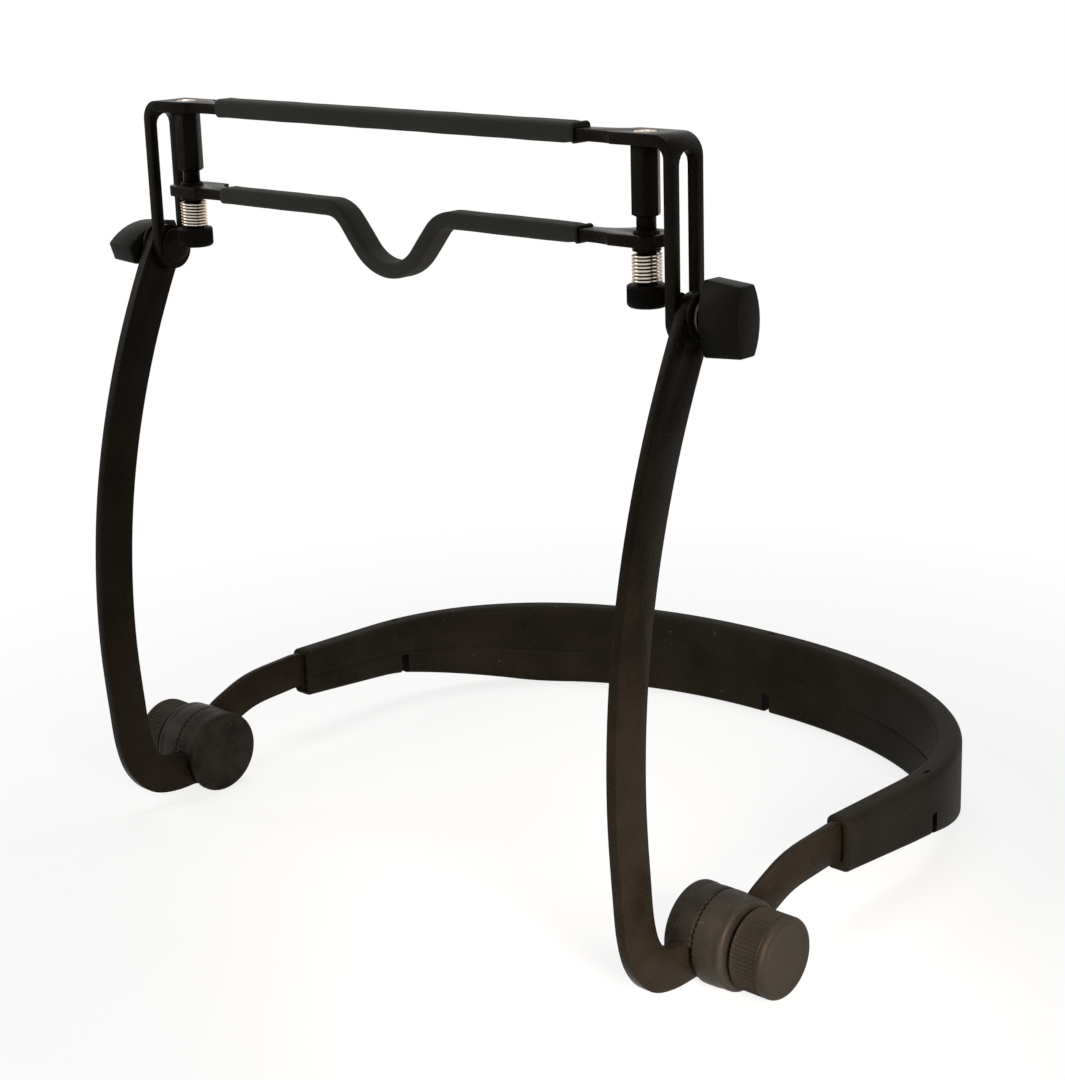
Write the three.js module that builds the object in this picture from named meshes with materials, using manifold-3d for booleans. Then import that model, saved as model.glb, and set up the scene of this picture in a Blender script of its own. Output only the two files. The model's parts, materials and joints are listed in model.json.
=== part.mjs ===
// Harmonica holder worn round the neck, in millimetres.
// X runs across the player, Y to the back of the neck, Z up from the plane that it stands on.
// The toothed hub joint takes the most skill: two moulded halves with a ring of radial teeth
// each, one notched for the foot of the arm and one slotted for the end of the neck band.
import * as THREE from "three";
import { mergeVertices } from "three/addons/utils/BufferGeometryUtils.js";
import Module from "manifold-3d";

const wasm = await Module();
wasm.setup();

// Shared clearances and counts
const seatGap = 0.3;
const slideGap = 0.12;
const overrun = 4;
const roundSides = 48;
const smallSides = 24;
const bendSteps = 8;
const curveSteps = 5;

// Hubs at the neck
const hubRadius = 12.1;
const hubDepth = 3.7;
const hubWaist = 0.35;
const capThick = 2.9;
const capRound = 0.9;
const seamCover = 1.4;
const armHalfWidth = 8.5;
const neckHalfWidth = 9;
const neckHalfRound = 1.7;
const neckHalfTaper = 0.5;
const toothHeight = 0.6;
const toothInner = 7.4;
const toothCount = 48;
const hubBoltRadius = 2.5;
const hubBoltBury = 4.6;
const hubBoltReach = 5.2;
const hubKnobRadius = 10.4;
const hubKnobWidth = 9.9;
const hubKnobRound = 1.2;
const hubKnobChamfer = 0.4;
const hubKnobGap = 1.3;
const hubKnobBoss = 4.4;

// Arms from the hubs up to the clamp bolts
const armThick = 2.9;
const armWidth = 10.8;
const armDrop = 155.9;
const armBow = 27.45;
const armTailWall = 2.6;
const armMouthWide = 1;
const armMouthDepth = 5.4;
const armHeightShares = [
  0.045, 0.179, 0.313, 0.446, 0.58, 0.715, 0.848, 0.93, 0.975, 1.007, 1.019,
];
const armReachShares = [
  0.136, 0.4645, 0.7115, 0.88, 0.9745, 1, 0.956, 0.907, 0.823, 0.663, 0.437,
];
const armTailHeightShare = 1.02;

// Clamp bolts, washers and paddle knobs
const boltRise = 0.1;
const boltRadius = 2.7;
const boltHeadRadius = 4.75;
const boltHeadThick = 0.9;
const boltHeadRound = 0.35;
const boltReach = 8;
const washerRadius = 5.9;
const washerThick = 0.9;
const lockWasherRadius = 4.7;
const lockWasherThick = 1;
const washerGap = 0.2;
const paddleWidth = 9.8;
const paddleEndWidth = 5.4;
const paddleHeight = 18;
const paddleDepth = 11;
const paddleEdge = 0.5;
const paddleTaperShare = 0.92;
const leftPaddleTurn = THREE.MathUtils.degToRad(-72);

// Upper frame: one strap bent down at both ends into slotted legs
const strapThick = 2.8;
const legOuterHalf = 95.05;
const legWidth = 11;
const legLength = 47.8;
const bendOuter = 5.4;
const slotWidth = 6.4;
const slotFoot = 3.5;
const slotTopDrop = 3.7;
const barWidth = 5.2;
const barForward = 1.39;
const flareInset = 6.06;
const flareLength = 9.5;

// Rubber sleeves
const sleeveEndGap = 2.4;
const lowerSleeveEndGap = 0.6;
const sleeveDepth = 7;
const sleeveTopWall = 1.4;
const sleeveFootWall = 0.8;
const lowerSleeveWall = 0.75;
const sleeveClear = 0.2;

// Guide posts, screws, bushes, springs and nuts
const postInset = 5.24;
const hexAcross = 6.25;
const hexLength = 16.3;
const hexChamfer = 0.5;
const shaftRadius = 2.35;
const screwHeadRadius = 2.8;
const screwHeadDepth = 1.5;
const screwRadius = 1.5;
const screwLength = 9;
const bushWall = 0.62;
const bushTop = 0.8;
const bushCollar = 0.9;
const bushCollarRadius = 3.4;
const springRadius = 3.4;
const springWire = 0.5;
const springTurns = 6.5;
const springLength = 7.25;
const springSteps = 8;
const springSides = 5;
const nutRadius = 4.85;
const nutHeight = 5.3;
const nutEdge = 0.7;
const nutFloor = 1.2;

// Lower jaw
const jawThick = 2.9;
const jawDrop = 23.3;
const jawTipGap = 3.25;
const jawBack = 7;
const jawFront = 5.3;
const jawFlareInset = 7.56;
const jawFlareLength = 9.4;
const jawBackCorner = 4;
const jawFrontCorner = 3;
const dipDepth = 14.5;
const dipRadius = 13.5;
const dipShoulder = 9;
const dipAngle = THREE.MathUtils.degToRad(50);

// Neck band and pad
const bandThick = 2;
const bandHeight = 10.9;
const bandEntry = 4.6;
const bandLegEnd = 77.3;
const padBack = 162.8;
const neckCurvePower = 2.2;
const neckCurveSteps = 26;
const bandRiseDepths = [12, 18, 26, 43];
const bandRiseHeights = [17, 20, 22.6, 23.7];
const bandBackHeight = 17;
const padThick = 7.3;
const padStart = 46.8;
const padTopFront = 29.9;
const padTopBack = 26.5;
const padFrontHeight = 15;
const padMidHeight = 17.5;
const padMidShare = 0.35;
const padFullShare = 0.75;
const notchWidth = 2.3;
const notchHeight = 5.5;
const notchSide = 89;
const padHoleLength = 2.6;
const padHoleWidth = 1.2;
const padHoleDepth = 3;
const padMouthGap = 1;
const padMouthDepth = 3;

// Places that follow from the sizes above
const hubHeight = hubRadius;
const boltHeight = hubHeight + armDrop;
const legFoot = boltHeight - boltRise - slotWidth / 2 - slotFoot;
const barTop = legFoot + legLength;
const barFoot = barTop - strapThick;
const legInner = legOuterHalf - strapThick;
const armInner = legOuterHalf + seatGap;
const armOuter = armInner + armThick;
const seam = armOuter + seamCover;
const armHalfInner = seam - armHalfWidth;
const neckHalfInner = seam + seatGap / 2;
const neckHalfOuter = seam + neckHalfWidth;
const hubKnobInner = neckHalfOuter + hubKnobGap;
const bandCentre = (neckHalfInner + neckHalfOuter) / 2;
const washerInner = armOuter + seatGap;
const lockInner = washerInner + washerThick + washerGap;
const paddleInner = lockInner + lockWasherThick + seatGap;
const headOuter = legInner - seatGap;
const headInner = headOuter - boltHeadThick;
const jawTip = headInner - jawTipGap;
const postHalf = jawTip - postInset;
const flareEnd = postHalf - flareInset;
const flareStart = flareEnd - flareLength;
const sleeveHalf = flareStart - sleeveEndGap;
const jawFlareEnd = postHalf - jawFlareInset;
const jawFlareStart = jawFlareEnd - jawFlareLength;
const lowerSleeveHalf = jawFlareStart - lowerSleeveEndGap;
const jawTop = barTop - jawDrop;
const jawFoot = jawTop - jawThick;
const hexFoot = barFoot - seatGap - hexLength;
const bushInner = shaftRadius + slideGap;
const bushOuter = bushInner + bushWall;
const collarTop = jawFoot - seatGap;
const collarFoot = collarTop - bushCollar;
const springTop = collarFoot - seatGap;
const springFoot = springTop - springLength;
const nutTop = springFoot - seatGap;
const nutFoot = nutTop - nutHeight;
const barFront = -barForward - barWidth / 2;
const barRear = -barForward + barWidth / 2;

// A closed geometry as a solid, turned outwards when its faces point in.
function solid(geometry) {
  const bare = geometry.clone();
  bare.deleteAttribute("normal");
  bare.deleteAttribute("uv");
  const merged = mergeVertices(bare);
  const make = (triangles) =>
    new wasm.Manifold(
      new wasm.Mesh({
        numProp: 3,
        vertProperties: merged.getAttribute("position").array,
        triVerts: triangles,
      }),
    );
  const triangles = new Uint32Array(merged.index.array);
  const made = make(triangles);
  if (made.volume() > 0) return made;
  for (let i = 0; i < triangles.length; i += 3) {
    [triangles[i + 1], triangles[i + 2]] = [triangles[i + 2], triangles[i + 1]];
  }
  return make(triangles);
}

// An outline pushed along one axis: plan outlines are X,Y, front ones X,Z and side ones Y,Z.
const planes = {
  plan: [new THREE.Vector3(1, 0, 0), new THREE.Vector3(0, 1, 0), new THREE.Vector3(0, 0, 1)],
  front: [new THREE.Vector3(1, 0, 0), new THREE.Vector3(0, 0, 1), new THREE.Vector3(0, 1, 0)],
  side: [new THREE.Vector3(0, 1, 0), new THREE.Vector3(0, 0, 1), new THREE.Vector3(1, 0, 0)],
};

function push(plane, outline, low, high) {
  const shape = new THREE.Shape(outline.map(([a, b]) => new THREE.Vector2(a, b)));
  const geometry = new THREE.ExtrudeGeometry(shape, { depth: high - low, bevelEnabled: false });
  geometry.translate(0, 0, low);
  geometry.applyMatrix4(new THREE.Matrix4().makeBasis(...planes[plane]));
  return solid(geometry);
}

// The outline of a strip of one width that follows a line of points.
function strip(line, width) {
  const left = [];
  const right = [];
  line.forEach(([a, b], i) => {
    const before = line[Math.max(i - 1, 0)];
    const after = line[Math.min(i + 1, line.length - 1)];
    const into = new THREE.Vector2(a - before[0], b - before[1]).normalize();
    const out = new THREE.Vector2(after[0] - a, after[1] - b).normalize();
    const along = into.clone().add(out).normalize();
    const stretch = along.dot(into.lengthSq() > 0 ? into : out);
    const reach = width / 2 / stretch;
    left.push([a - along.y * reach, b + along.x * reach]);
    right.push([a + along.y * reach, b - along.x * reach]);
  });
  return [...left, ...right.reverse()];
}

// Points of an arc, without its first one when it carries on from a line.
function arc(a, b, radius, from, to, steps = bendSteps) {
  return Array.from({ length: steps + 1 }, (_, i) => {
    const angle = from + ((to - from) * i) / steps;
    return [a + radius * Math.cos(angle), b + radius * Math.sin(angle)];
  });
}

function disc(plane, a, b, radius, low, high, sides = smallSides) {
  return push(plane, arc(a, b, radius, 0, 2 * Math.PI, sides).slice(0, sides), low, high);
}

// A turned piece about a line along X or Z, from pairs of radius and place along that line.
function turned(axis, profile, centre, sides = roundSides) {
  const points = profile.map(([radius, along]) => new THREE.Vector2(radius, along));
  const geometry = new THREE.LatheGeometry(points, sides);
  if (axis === "x") geometry.rotateZ(-Math.PI / 2);
  else geometry.rotateX(Math.PI / 2);
  geometry.translate(...centre);
  return solid(geometry);
}

// A closed skin over rings of equal point counts, with flat ends.
function skin(rings) {
  const count = rings[0].length;
  const points = rings.flat();
  const middles = [rings[0], rings[rings.length - 1]].map((ring) =>
    ring.reduce((sum, p) => sum.map((value, k) => value + p[k] / count), [0, 0, 0]),
  );
  points.push(...middles);
  const faces = [];
  for (let r = 0; r + 1 < rings.length; r += 1) {
    for (let k = 0; k < count; k += 1) {
      const next = (k + 1) % count;
      const here = r * count;
      const there = here + count;
      faces.push(here + k, here + next, there + next, here + k, there + next, there + k);
    }
  }
  const last = (rings.length - 1) * count;
  for (let k = 0; k < count; k += 1) {
    const next = (k + 1) % count;
    faces.push(next, k, points.length - 2, last + k, last + next, points.length - 1);
  }
  const geometry = new THREE.BufferGeometry();
  geometry.setAttribute("position", new THREE.Float32BufferAttribute(points.flat(), 3));
  geometry.setIndex(faces);
  return solid(geometry);
}

const group = new THREE.Group();
const finishes = {
  steel: new THREE.MeshStandardMaterial({ color: 0x15130f, roughness: 0.45, metalness: 0.3 }),
  plastic: new THREE.MeshStandardMaterial({ color: 0x1d1b19, roughness: 0.6 }),
  rubber: new THREE.MeshStandardMaterial({ color: 0x2b2a28, roughness: 0.85 }),
  bright: new THREE.MeshStandardMaterial({ color: 0xc9c6c0, roughness: 0.25, metalness: 0.9 }),
};

function keep(name, made, finish) {
  const { vertProperties, triVerts } = made.getMesh();
  const geometry = new THREE.BufferGeometry();
  geometry.setAttribute("position", new THREE.BufferAttribute(vertProperties, 3));
  geometry.setIndex(new THREE.BufferAttribute(triVerts, 1));
  const mesh = new THREE.Mesh(geometry, finishes[finish].clone());
  mesh.name = name;
  group.add(mesh);
  return mesh;
}

// A piece on the player's left side and its mirror image on the other.
function keepPair(name, right, finish, left = right) {
  keep(`right_${name}`, right, finish);
  const geometry = keep(`left_${name}`, left, finish).geometry;
  geometry.scale(-1, 1, 1);
  const index = geometry.index.array;
  for (let i = 0; i < index.length; i += 3) {
    [index[i + 1], index[i + 2]] = [index[i + 2], index[i + 1]];
  }
}

// Lines of the neck band and pad, seen from above and from the side
const neckDepth = padBack - padThick / 2 - bandLegEnd;
function neckLine(start) {
  const rightHalf = Array.from({ length: neckCurveSteps }, (_, i) => {
    const angle = ((Math.PI / 2) * i) / neckCurveSteps;
    const across = bandCentre * Math.cos(angle) ** (2 / neckCurvePower);
    return [across, bandLegEnd + neckDepth * Math.sin(angle) ** (2 / neckCurvePower)];
  });
  const leftHalf = rightHalf.map(([across, depth]) => [-across, depth]).reverse();
  const back = [0, bandLegEnd + neckDepth];
  return [[bandCentre, start], ...rightHalf, back, ...leftHalf, [-bandCentre, start]];
}

function smooth(knots) {
  const curve = new THREE.CatmullRomCurve3(
    knots.map(([a, b]) => new THREE.Vector3(a, b, 0)),
    false,
    "centripetal",
  );
  return curve.getPoints((knots.length - 1) * curveSteps).map((p) => [p.x, p.y]);
}

const bandStart = hubDepth + bandEntry;
const bandRise = smooth([
  [bandStart, hubHeight],
  ...bandRiseDepths.map((depth, i) => [depth, bandRiseHeights[i]]),
]);
const bandSide = [...bandRise, [padBack, bandBackHeight]];

function band(thick, height, start) {
  return push("plan", strip(neckLine(start), thick), 0, padTopFront + overrun).intersect(
    push("side", strip(bandSide, height), -bandCentre - padThick, bandCentre + padThick),
  );
}

keep("neck_band", band(bandThick, bandHeight, bandStart), "steel");

// Neck pad: one thickness seen from above, deeper towards the back, standing on its rear foot
const padLength = padBack - padStart;
const padMid = padStart + padLength * padMidShare;
const padFull = padStart + padLength * padFullShare;
const padTopMid = padTopFront + (padTopBack - padTopFront) * padMidShare;
const padSide = [
  [padStart, padTopFront],
  [padStart, padTopFront - padFrontHeight],
  ...smooth([
    [padMid, padTopMid - padMidHeight],
    [(padMid + padFull) / 2, (padTopMid - padMidHeight) / 2],
    [padFull, 0],
  ]),
  [padBack + overrun, 0],
  [padBack + overrun, padTopBack],
  [padBack, padTopBack],
];
const padRoom = band(bandThick + 2 * seatGap, bandHeight + 2 * seatGap, hubDepth);
const padMouth = band(bandThick + 2 * padMouthGap, bandHeight + 2 * seatGap, hubDepth)
  .trimByPlane([0, -1, 0], -padStart - padMouthDepth);
let pad = push("plan", strip(neckLine(padStart), padThick), -overrun, padTopFront + overrun)
  .intersect(push("side", padSide, -bandCentre - padThick, bandCentre + padThick))
  .subtract(padRoom)
  .subtract(padMouth);
const sideNotchTop = padTopMid - padMidHeight + notchHeight;
const sideNotch = [
  [notchSide - notchWidth / 2, -overrun],
  [notchSide + notchWidth / 2, -overrun],
  [notchSide + notchWidth / 2, sideNotchTop],
  [notchSide - notchWidth / 2, sideNotchTop],
];
const rearNotch = [
  [-notchWidth / 2, -overrun],
  [notchWidth / 2, -overrun],
  [notchWidth / 2, notchHeight],
  [-notchWidth / 2, notchHeight],
];
pad = pad
  .subtract(push("side", sideNotch, -bandCentre - padThick, bandCentre + padThick))
  .subtract(push("front", rearNotch, padBack - padThick - overrun, padBack + overrun));
const holePlaces = [
  [bandCentre, notchSide, padHoleWidth, padHoleLength],
  [-bandCentre, notchSide, padHoleWidth, padHoleLength],
  [0, padBack - padThick / 2, padHoleLength, padHoleWidth],
];
for (const [across, depth, wide, long] of holePlaces) {
  const hole = [
    [across - wide / 2, depth - long / 2],
    [across + wide / 2, depth - long / 2],
    [across + wide / 2, depth + long / 2],
    [across - wide / 2, depth + long / 2],
  ];
  pad = pad.subtract(push("plan", hole, padTopBack - padHoleDepth, padTopFront + overrun));
}
keep("neck_pad", pad, "rubber");

// A ring of radial teeth that stands on a flat face and points along X one way or the other
function teeth(base, tip, root, turn) {
  const steps = 2 * toothCount;
  const ring = (along, radius, k) => {
    const angle = (2 * Math.PI * (k + turn)) / steps;
    return [along, hubDepth + radius * Math.cos(angle), hubHeight + radius * Math.sin(angle)];
  };
  const rings = Array.from({ length: steps }, (_, k) => {
    const top = k % 2 ? tip : base;
    return [
      ring(root, toothInner, k),
      ring(root, hubRadius, k),
      ring(top, hubRadius, k),
      ring(top, toothInner, k),
    ];
  });
  const points = rings.flat();
  const faces = [];
  for (let k = 0; k < steps; k += 1) {
    const here = 4 * k;
    const there = 4 * ((k + 1) % steps);
    for (let side = 0; side < 4; side += 1) {
      const next = (side + 1) % 4;
      faces.push(here + side, here + next, there + next, here + side, there + next, there + side);
    }
  }
  const geometry = new THREE.BufferGeometry();
  geometry.setAttribute("position", new THREE.Float32BufferAttribute(points.flat(), 3));
  geometry.setIndex(faces);
  return solid(geometry);
}

// Line of an arm seen from the side, from its clamp bolt down to its tail in the hub
const tailEnd = hubDepth - hubBoltRadius - armTailWall;
const armKnots = [
  [0, boltHeight],
  ...armHeightShares.map((share, i) => [
    -armBow * armReachShares[i],
    boltHeight - armDrop * share,
  ]),
  [tailEnd, boltHeight - armDrop * armTailHeightShare],
];
const armLine = smooth(armKnots);
const arm = push("side", strip(armLine, armWidth), armInner, armOuter)
  .add(disc("side", 0, boltHeight, armWidth / 2, armInner, armOuter, roundSides))
  .subtract(
    disc("side", 0, boltHeight, boltRadius + seatGap, armInner - overrun, armOuter + overrun),
  );
keepPair("arm", arm, "steel");

// Hub half on the arm: a cap that faces inwards, a waist, teeth, and a notch for the tail
const armHalfTop = seam - seatGap / 2;
const armHalfBase = armHalfTop - toothHeight;
const tailRoom = strip(armLine.slice(-3 * curveSteps), armWidth + 2 * seatGap);
const tailReach = Math.max(...tailRoom.map(([depth]) => depth)) + seatGap;
const tailLow = Math.min(...tailRoom.map(([, height]) => height));
const tailHigh = boltHeight - armDrop * armTailHeightShare + armWidth / 2 + seatGap;
const mouthEnd = hubDepth - hubRadius + armMouthDepth;
function tailCut(from, to, end) {
  const room = [
    [-armBow, tailLow],
    [end, tailLow],
    [end, tailHigh],
    [-armBow, tailHigh],
  ];
  return push("side", room, from, to);
}
const armHalf = turned(
  "x",
  [
    [0, armHalfInner],
    [hubRadius - capRound, armHalfInner],
    [hubRadius - capRound / 3, armHalfInner + capRound / 3],
    [hubRadius, armHalfInner + capRound],
    [hubRadius, armHalfInner + capThick],
    [hubRadius - hubWaist, armHalfInner + capThick + hubWaist],
    [hubRadius - hubWaist, armHalfBase - hubWaist],
    [hubRadius, armHalfBase],
    [0, armHalfBase],
  ],
  [0, hubDepth, hubHeight],
)
  .add(teeth(armHalfBase, armHalfTop, armHalfBase - toothHeight, 0))
  .subtract(tailCut(armInner - seatGap, armOuter + overrun, tailReach))
  .subtract(tailCut(armInner - seatGap - armMouthWide, armOuter + overrun, mouthEnd))
  .subtract(
    disc(
      "side",
      hubDepth,
      hubHeight,
      hubBoltRadius + seatGap,
      armHalfBase - hubBoltBury - seatGap,
      seam + overrun,
    ),
  );
keepPair("hub_arm_half", armHalf, "plastic");

// Hub half on the neck band, with teeth that face the others and a slot for the band
const neckHalfBase = neckHalfInner + toothHeight;
const bandRoom = band(bandThick + 2 * seatGap, bandHeight + 2 * seatGap, bandStart - seatGap);
const neckHalf = turned(
  "x",
  [
    [0, neckHalfBase],
    [hubRadius, neckHalfBase],
    [hubRadius - neckHalfTaper, neckHalfOuter - neckHalfRound],
    [hubRadius - neckHalfTaper - neckHalfRound / 3, neckHalfOuter - neckHalfRound / 3],
    [hubRadius - neckHalfTaper - neckHalfRound, neckHalfOuter],
    [0, neckHalfOuter],
  ],
  [0, hubDepth, hubHeight],
)
  .add(teeth(neckHalfBase, neckHalfInner, neckHalfBase + toothHeight, 0))
  .subtract(bandRoom)
  .subtract(
    disc(
      "side",
      hubDepth,
      hubHeight,
      hubBoltRadius + seatGap,
      neckHalfInner - overrun,
      neckHalfOuter + overrun,
    ),
  );
keepPair("hub_neck_half", neckHalf, "plastic");

const hubBoltEnd = hubKnobInner + hubBoltReach;
keepPair(
  "hub_bolt",
  disc("side", hubDepth, hubHeight, hubBoltRadius, armHalfBase - hubBoltBury, hubBoltEnd),
  "bright",
);

const hubKnobOuter = hubKnobInner + hubKnobWidth;
const hubKnob = turned(
  "x",
  [
    [0, neckHalfOuter + seatGap],
    [hubKnobBoss, neckHalfOuter + seatGap],
    [hubKnobBoss, hubKnobInner],
    [hubKnobRadius - hubKnobChamfer, hubKnobInner],
    [hubKnobRadius, hubKnobInner + hubKnobChamfer],
    [hubKnobRadius, hubKnobOuter - hubKnobRound],
    [hubKnobRadius - hubKnobRound / 3, hubKnobOuter - hubKnobRound / 3],
    [hubKnobRadius - hubKnobRound, hubKnobOuter],
    [0, hubKnobOuter],
  ],
  [0, hubDepth, hubHeight],
).subtract(
  disc(
    "side",
    hubDepth,
    hubHeight,
    hubBoltRadius + seatGap,
    neckHalfOuter - overrun,
    hubBoltEnd + seatGap,
  ),
);
keepPair("hub_knob", hubKnob, "plastic");

// Clamp bolts with a flat round head inside the leg, and what sits on them outside the arm
const boltEnd = paddleInner + boltReach;
const clampBolt = turned(
  "x",
  [
    [0, headInner],
    [boltHeadRadius - boltHeadRound, headInner],
    [boltHeadRadius, headInner + boltHeadRound],
    [boltHeadRadius, headOuter],
    [boltRadius, headOuter],
    [boltRadius, boltEnd],
    [0, boltEnd],
  ],
  [0, 0, boltHeight],
  smallSides,
);
keepPair("clamp_bolt", clampBolt, "steel");

function washer(radius, inner, thick) {
  return disc("side", 0, boltHeight, radius, inner, inner + thick, roundSides).subtract(
    disc("side", 0, boltHeight, boltRadius + seatGap, inner - overrun, inner + thick + overrun),
  );
}
keepPair("flat_washer", washer(washerRadius, washerInner, washerThick), "steel");
keepPair("lock_washer", washer(lockWasherRadius, lockInner, lockWasherThick), "bright");

// Paddle knob: slab with two bulging faces that gets lower and narrower outwards
function paddle(turn) {
  const bulge = (paddleWidth - paddleEndWidth) / 2;
  const bulgeRadius = (paddleHeight ** 2 / 4 + bulge ** 2) / (2 * bulge);
  const bulgeAngle = Math.asin(paddleHeight / 2 / bulgeRadius);
  const face = arc(paddleWidth / 2 - bulgeRadius, 0, bulgeRadius, -bulgeAngle, bulgeAngle);
  const outline = [...face, ...face.map(([a, b]) => [-a, -b])];
  const edgeShare = paddleEdge / paddleWidth;
  const stations = [
    [paddleInner, 1 - edgeShare],
    [paddleInner + paddleEdge, 1],
    [paddleInner + paddleDepth - paddleEdge, paddleTaperShare],
    [paddleInner + paddleDepth, paddleTaperShare - edgeShare],
  ];
  const rings = stations.map(([along, size]) =>
    outline.map(([a, b]) => [
      along,
      size * (a * Math.cos(turn) - b * Math.sin(turn)),
      boltHeight + size * (a * Math.sin(turn) + b * Math.cos(turn)),
    ]),
  );
  return skin(rings).subtract(
    disc("side", 0, boltHeight, boltRadius + seatGap, paddleInner - overrun, boltEnd + seatGap),
  );
}
keepPair("tilt_knob", paddle(0), "plastic", paddle(leftPaddleTurn));

// A plan outline that is narrow in the middle and flares out in a hollow curve at both ends
function flared(start, end, front, rear, tip, frontCorner, rearCorner) {
  const steps = Array.from({ length: bendSteps + 1 }, (_, i) => (Math.PI / 2) * (i / bendSteps));
  const rearEdge = steps.map((angle) => [
    start + (end - start) * Math.sin(angle),
    barRear + (rear - barRear) * (1 - Math.cos(angle)),
  ]);
  const frontEdge = steps.map((angle) => [
    start + (end - start) * Math.sin(angle),
    barFront + (front - barFront) * (1 - Math.cos(angle)),
  ]);
  const corners = [
    ...arc(tip - rearCorner, rear - rearCorner, rearCorner, Math.PI / 2, 0),
    ...arc(tip - frontCorner, front + frontCorner, frontCorner, 0, -Math.PI / 2),
  ];
  const right = [...rearEdge, ...corners, ...frontEdge.reverse()];
  return [...right, ...right.map(([across, depth]) => [-across, depth]).reverse()];
}

// Upper frame
const bendLine = bendOuter - strapThick / 2;
const legLine = legOuterHalf - strapThick / 2;
const barLine = barTop - strapThick / 2;
const rightBend = arc(legLine - bendLine, barLine - bendLine, bendLine, 0, Math.PI / 2);
const leftBend = rightBend.map(([across, height]) => [-across, height]).reverse();
const strapLine = [[legLine, legFoot], ...rightBend, ...leftBend, [-legLine, legFoot]];
const strapCut = flared(
  flareStart,
  flareEnd,
  -legWidth / 2,
  legWidth / 2,
  legOuterHalf + overrun,
  overrun / 2,
  overrun / 2,
);
const legSide = [
  ...arc(0, legFoot + legWidth / 2, legWidth / 2, Math.PI, 2 * Math.PI, roundSides / 2),
  [legWidth / 2, barTop + overrun],
  [-legWidth / 2, barTop + overrun],
];
const slotSide = [
  ...arc(0, legFoot + slotFoot + slotWidth / 2, slotWidth / 2, Math.PI, 2 * Math.PI),
  ...arc(0, barTop - slotTopDrop - slotWidth / 2, slotWidth / 2, 0, Math.PI),
];
let upperFrame = push("front", strip(strapLine, strapThick), -legWidth, legWidth)
  .intersect(push("plan", strapCut, legFoot - overrun, barTop + overrun))
  .intersect(push("side", legSide, -legOuterHalf - overrun, legOuterHalf + overrun));
for (const side of [-1, 1]) {
  const walls = [side * (legInner - overrun), side * (legOuterHalf + overrun)];
  const slot = push("side", slotSide, Math.min(...walls), Math.max(...walls));
  const sink = turned(
    "z",
    [
      [0, barTop + overrun],
      [screwHeadRadius + seatGap, barTop + overrun],
      [screwHeadRadius + seatGap, barTop],
      [screwRadius + seatGap, barTop - screwHeadDepth],
      [screwRadius + seatGap, barFoot - overrun],
      [0, barFoot - overrun],
    ],
    [side * postHalf, 0, 0],
    smallSides,
  );
  upperFrame = upperFrame.subtract(slot).subtract(sink);
}
keep("upper_frame", upperFrame, "steel");

const sleeveFront = -barForward - sleeveDepth / 2;
const sleeveRear = -barForward + sleeveDepth / 2;
const sleeveOutline = [
  [-sleeveHalf, barFoot - sleeveFootWall],
  [sleeveHalf, barFoot - sleeveFootWall],
  [sleeveHalf, barTop + sleeveTopWall],
  [-sleeveHalf, barTop + sleeveTopWall],
];
const sleeveBore = [
  [-sleeveHalf - overrun, barFoot - sleeveClear],
  [sleeveHalf + overrun, barFoot - sleeveClear],
  [sleeveHalf + overrun, barTop + sleeveClear],
  [-sleeveHalf - overrun, barTop + sleeveClear],
];
keep(
  "upper_sleeve",
  push("front", sleeveOutline, sleeveFront, sleeveRear).subtract(
    push("front", sleeveBore, barFront - sleeveClear, barRear + sleeveClear),
  ),
  "rubber",
);

// Screws, posts, bushes, springs and nuts of the spring clamp
const screwFoot = barTop - screwLength;
const postScrew = turned(
  "z",
  [
    [0, barTop],
    [screwHeadRadius, barTop],
    [screwRadius, barTop - screwHeadDepth],
    [screwRadius, screwFoot],
    [0, screwFoot],
  ],
  [postHalf, 0, 0],
  smallSides,
);
keepPair("post_screw", postScrew, "bright");

const hexTop = barFoot - seatGap;
const hexCorner = hexAcross / Math.sqrt(3);
const shaftFoot = nutFoot + nutFloor + seatGap;
const hexCone = turned(
  "z",
  [
    [0, hexTop],
    [hexCorner, hexTop],
    [hexCorner, hexFoot + hexChamfer],
    [hexCorner - 2 * hexChamfer, hexFoot],
    [0, hexFoot],
  ],
  [postHalf, 0, 0],
  smallSides,
);
const guidePost = disc("plan", postHalf, 0, hexCorner, hexFoot, hexTop, 6)
  .intersect(hexCone)
  .add(disc("plan", postHalf, 0, shaftRadius, shaftFoot, hexFoot + hexChamfer))
  .subtract(
    disc("plan", postHalf, 0, screwRadius + seatGap, screwFoot - seatGap, barTop),
  );
keepPair("guide_post", guidePost, "steel");

const jawBush = turned(
  "z",
  [
    [0, jawTop + bushTop],
    [bushOuter - bushWall / 3, jawTop + bushTop],
    [bushOuter, jawTop + bushTop - bushWall / 3],
    [bushOuter, collarTop],
    [bushCollarRadius, collarTop],
    [bushCollarRadius, collarFoot],
    [0, collarFoot],
  ],
  [postHalf, 0, 0],
  smallSides,
).subtract(disc("plan", postHalf, 0, bushInner, collarFoot - overrun, jawTop + overrun));
keepPair("jaw_bush", jawBush, "steel");

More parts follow.
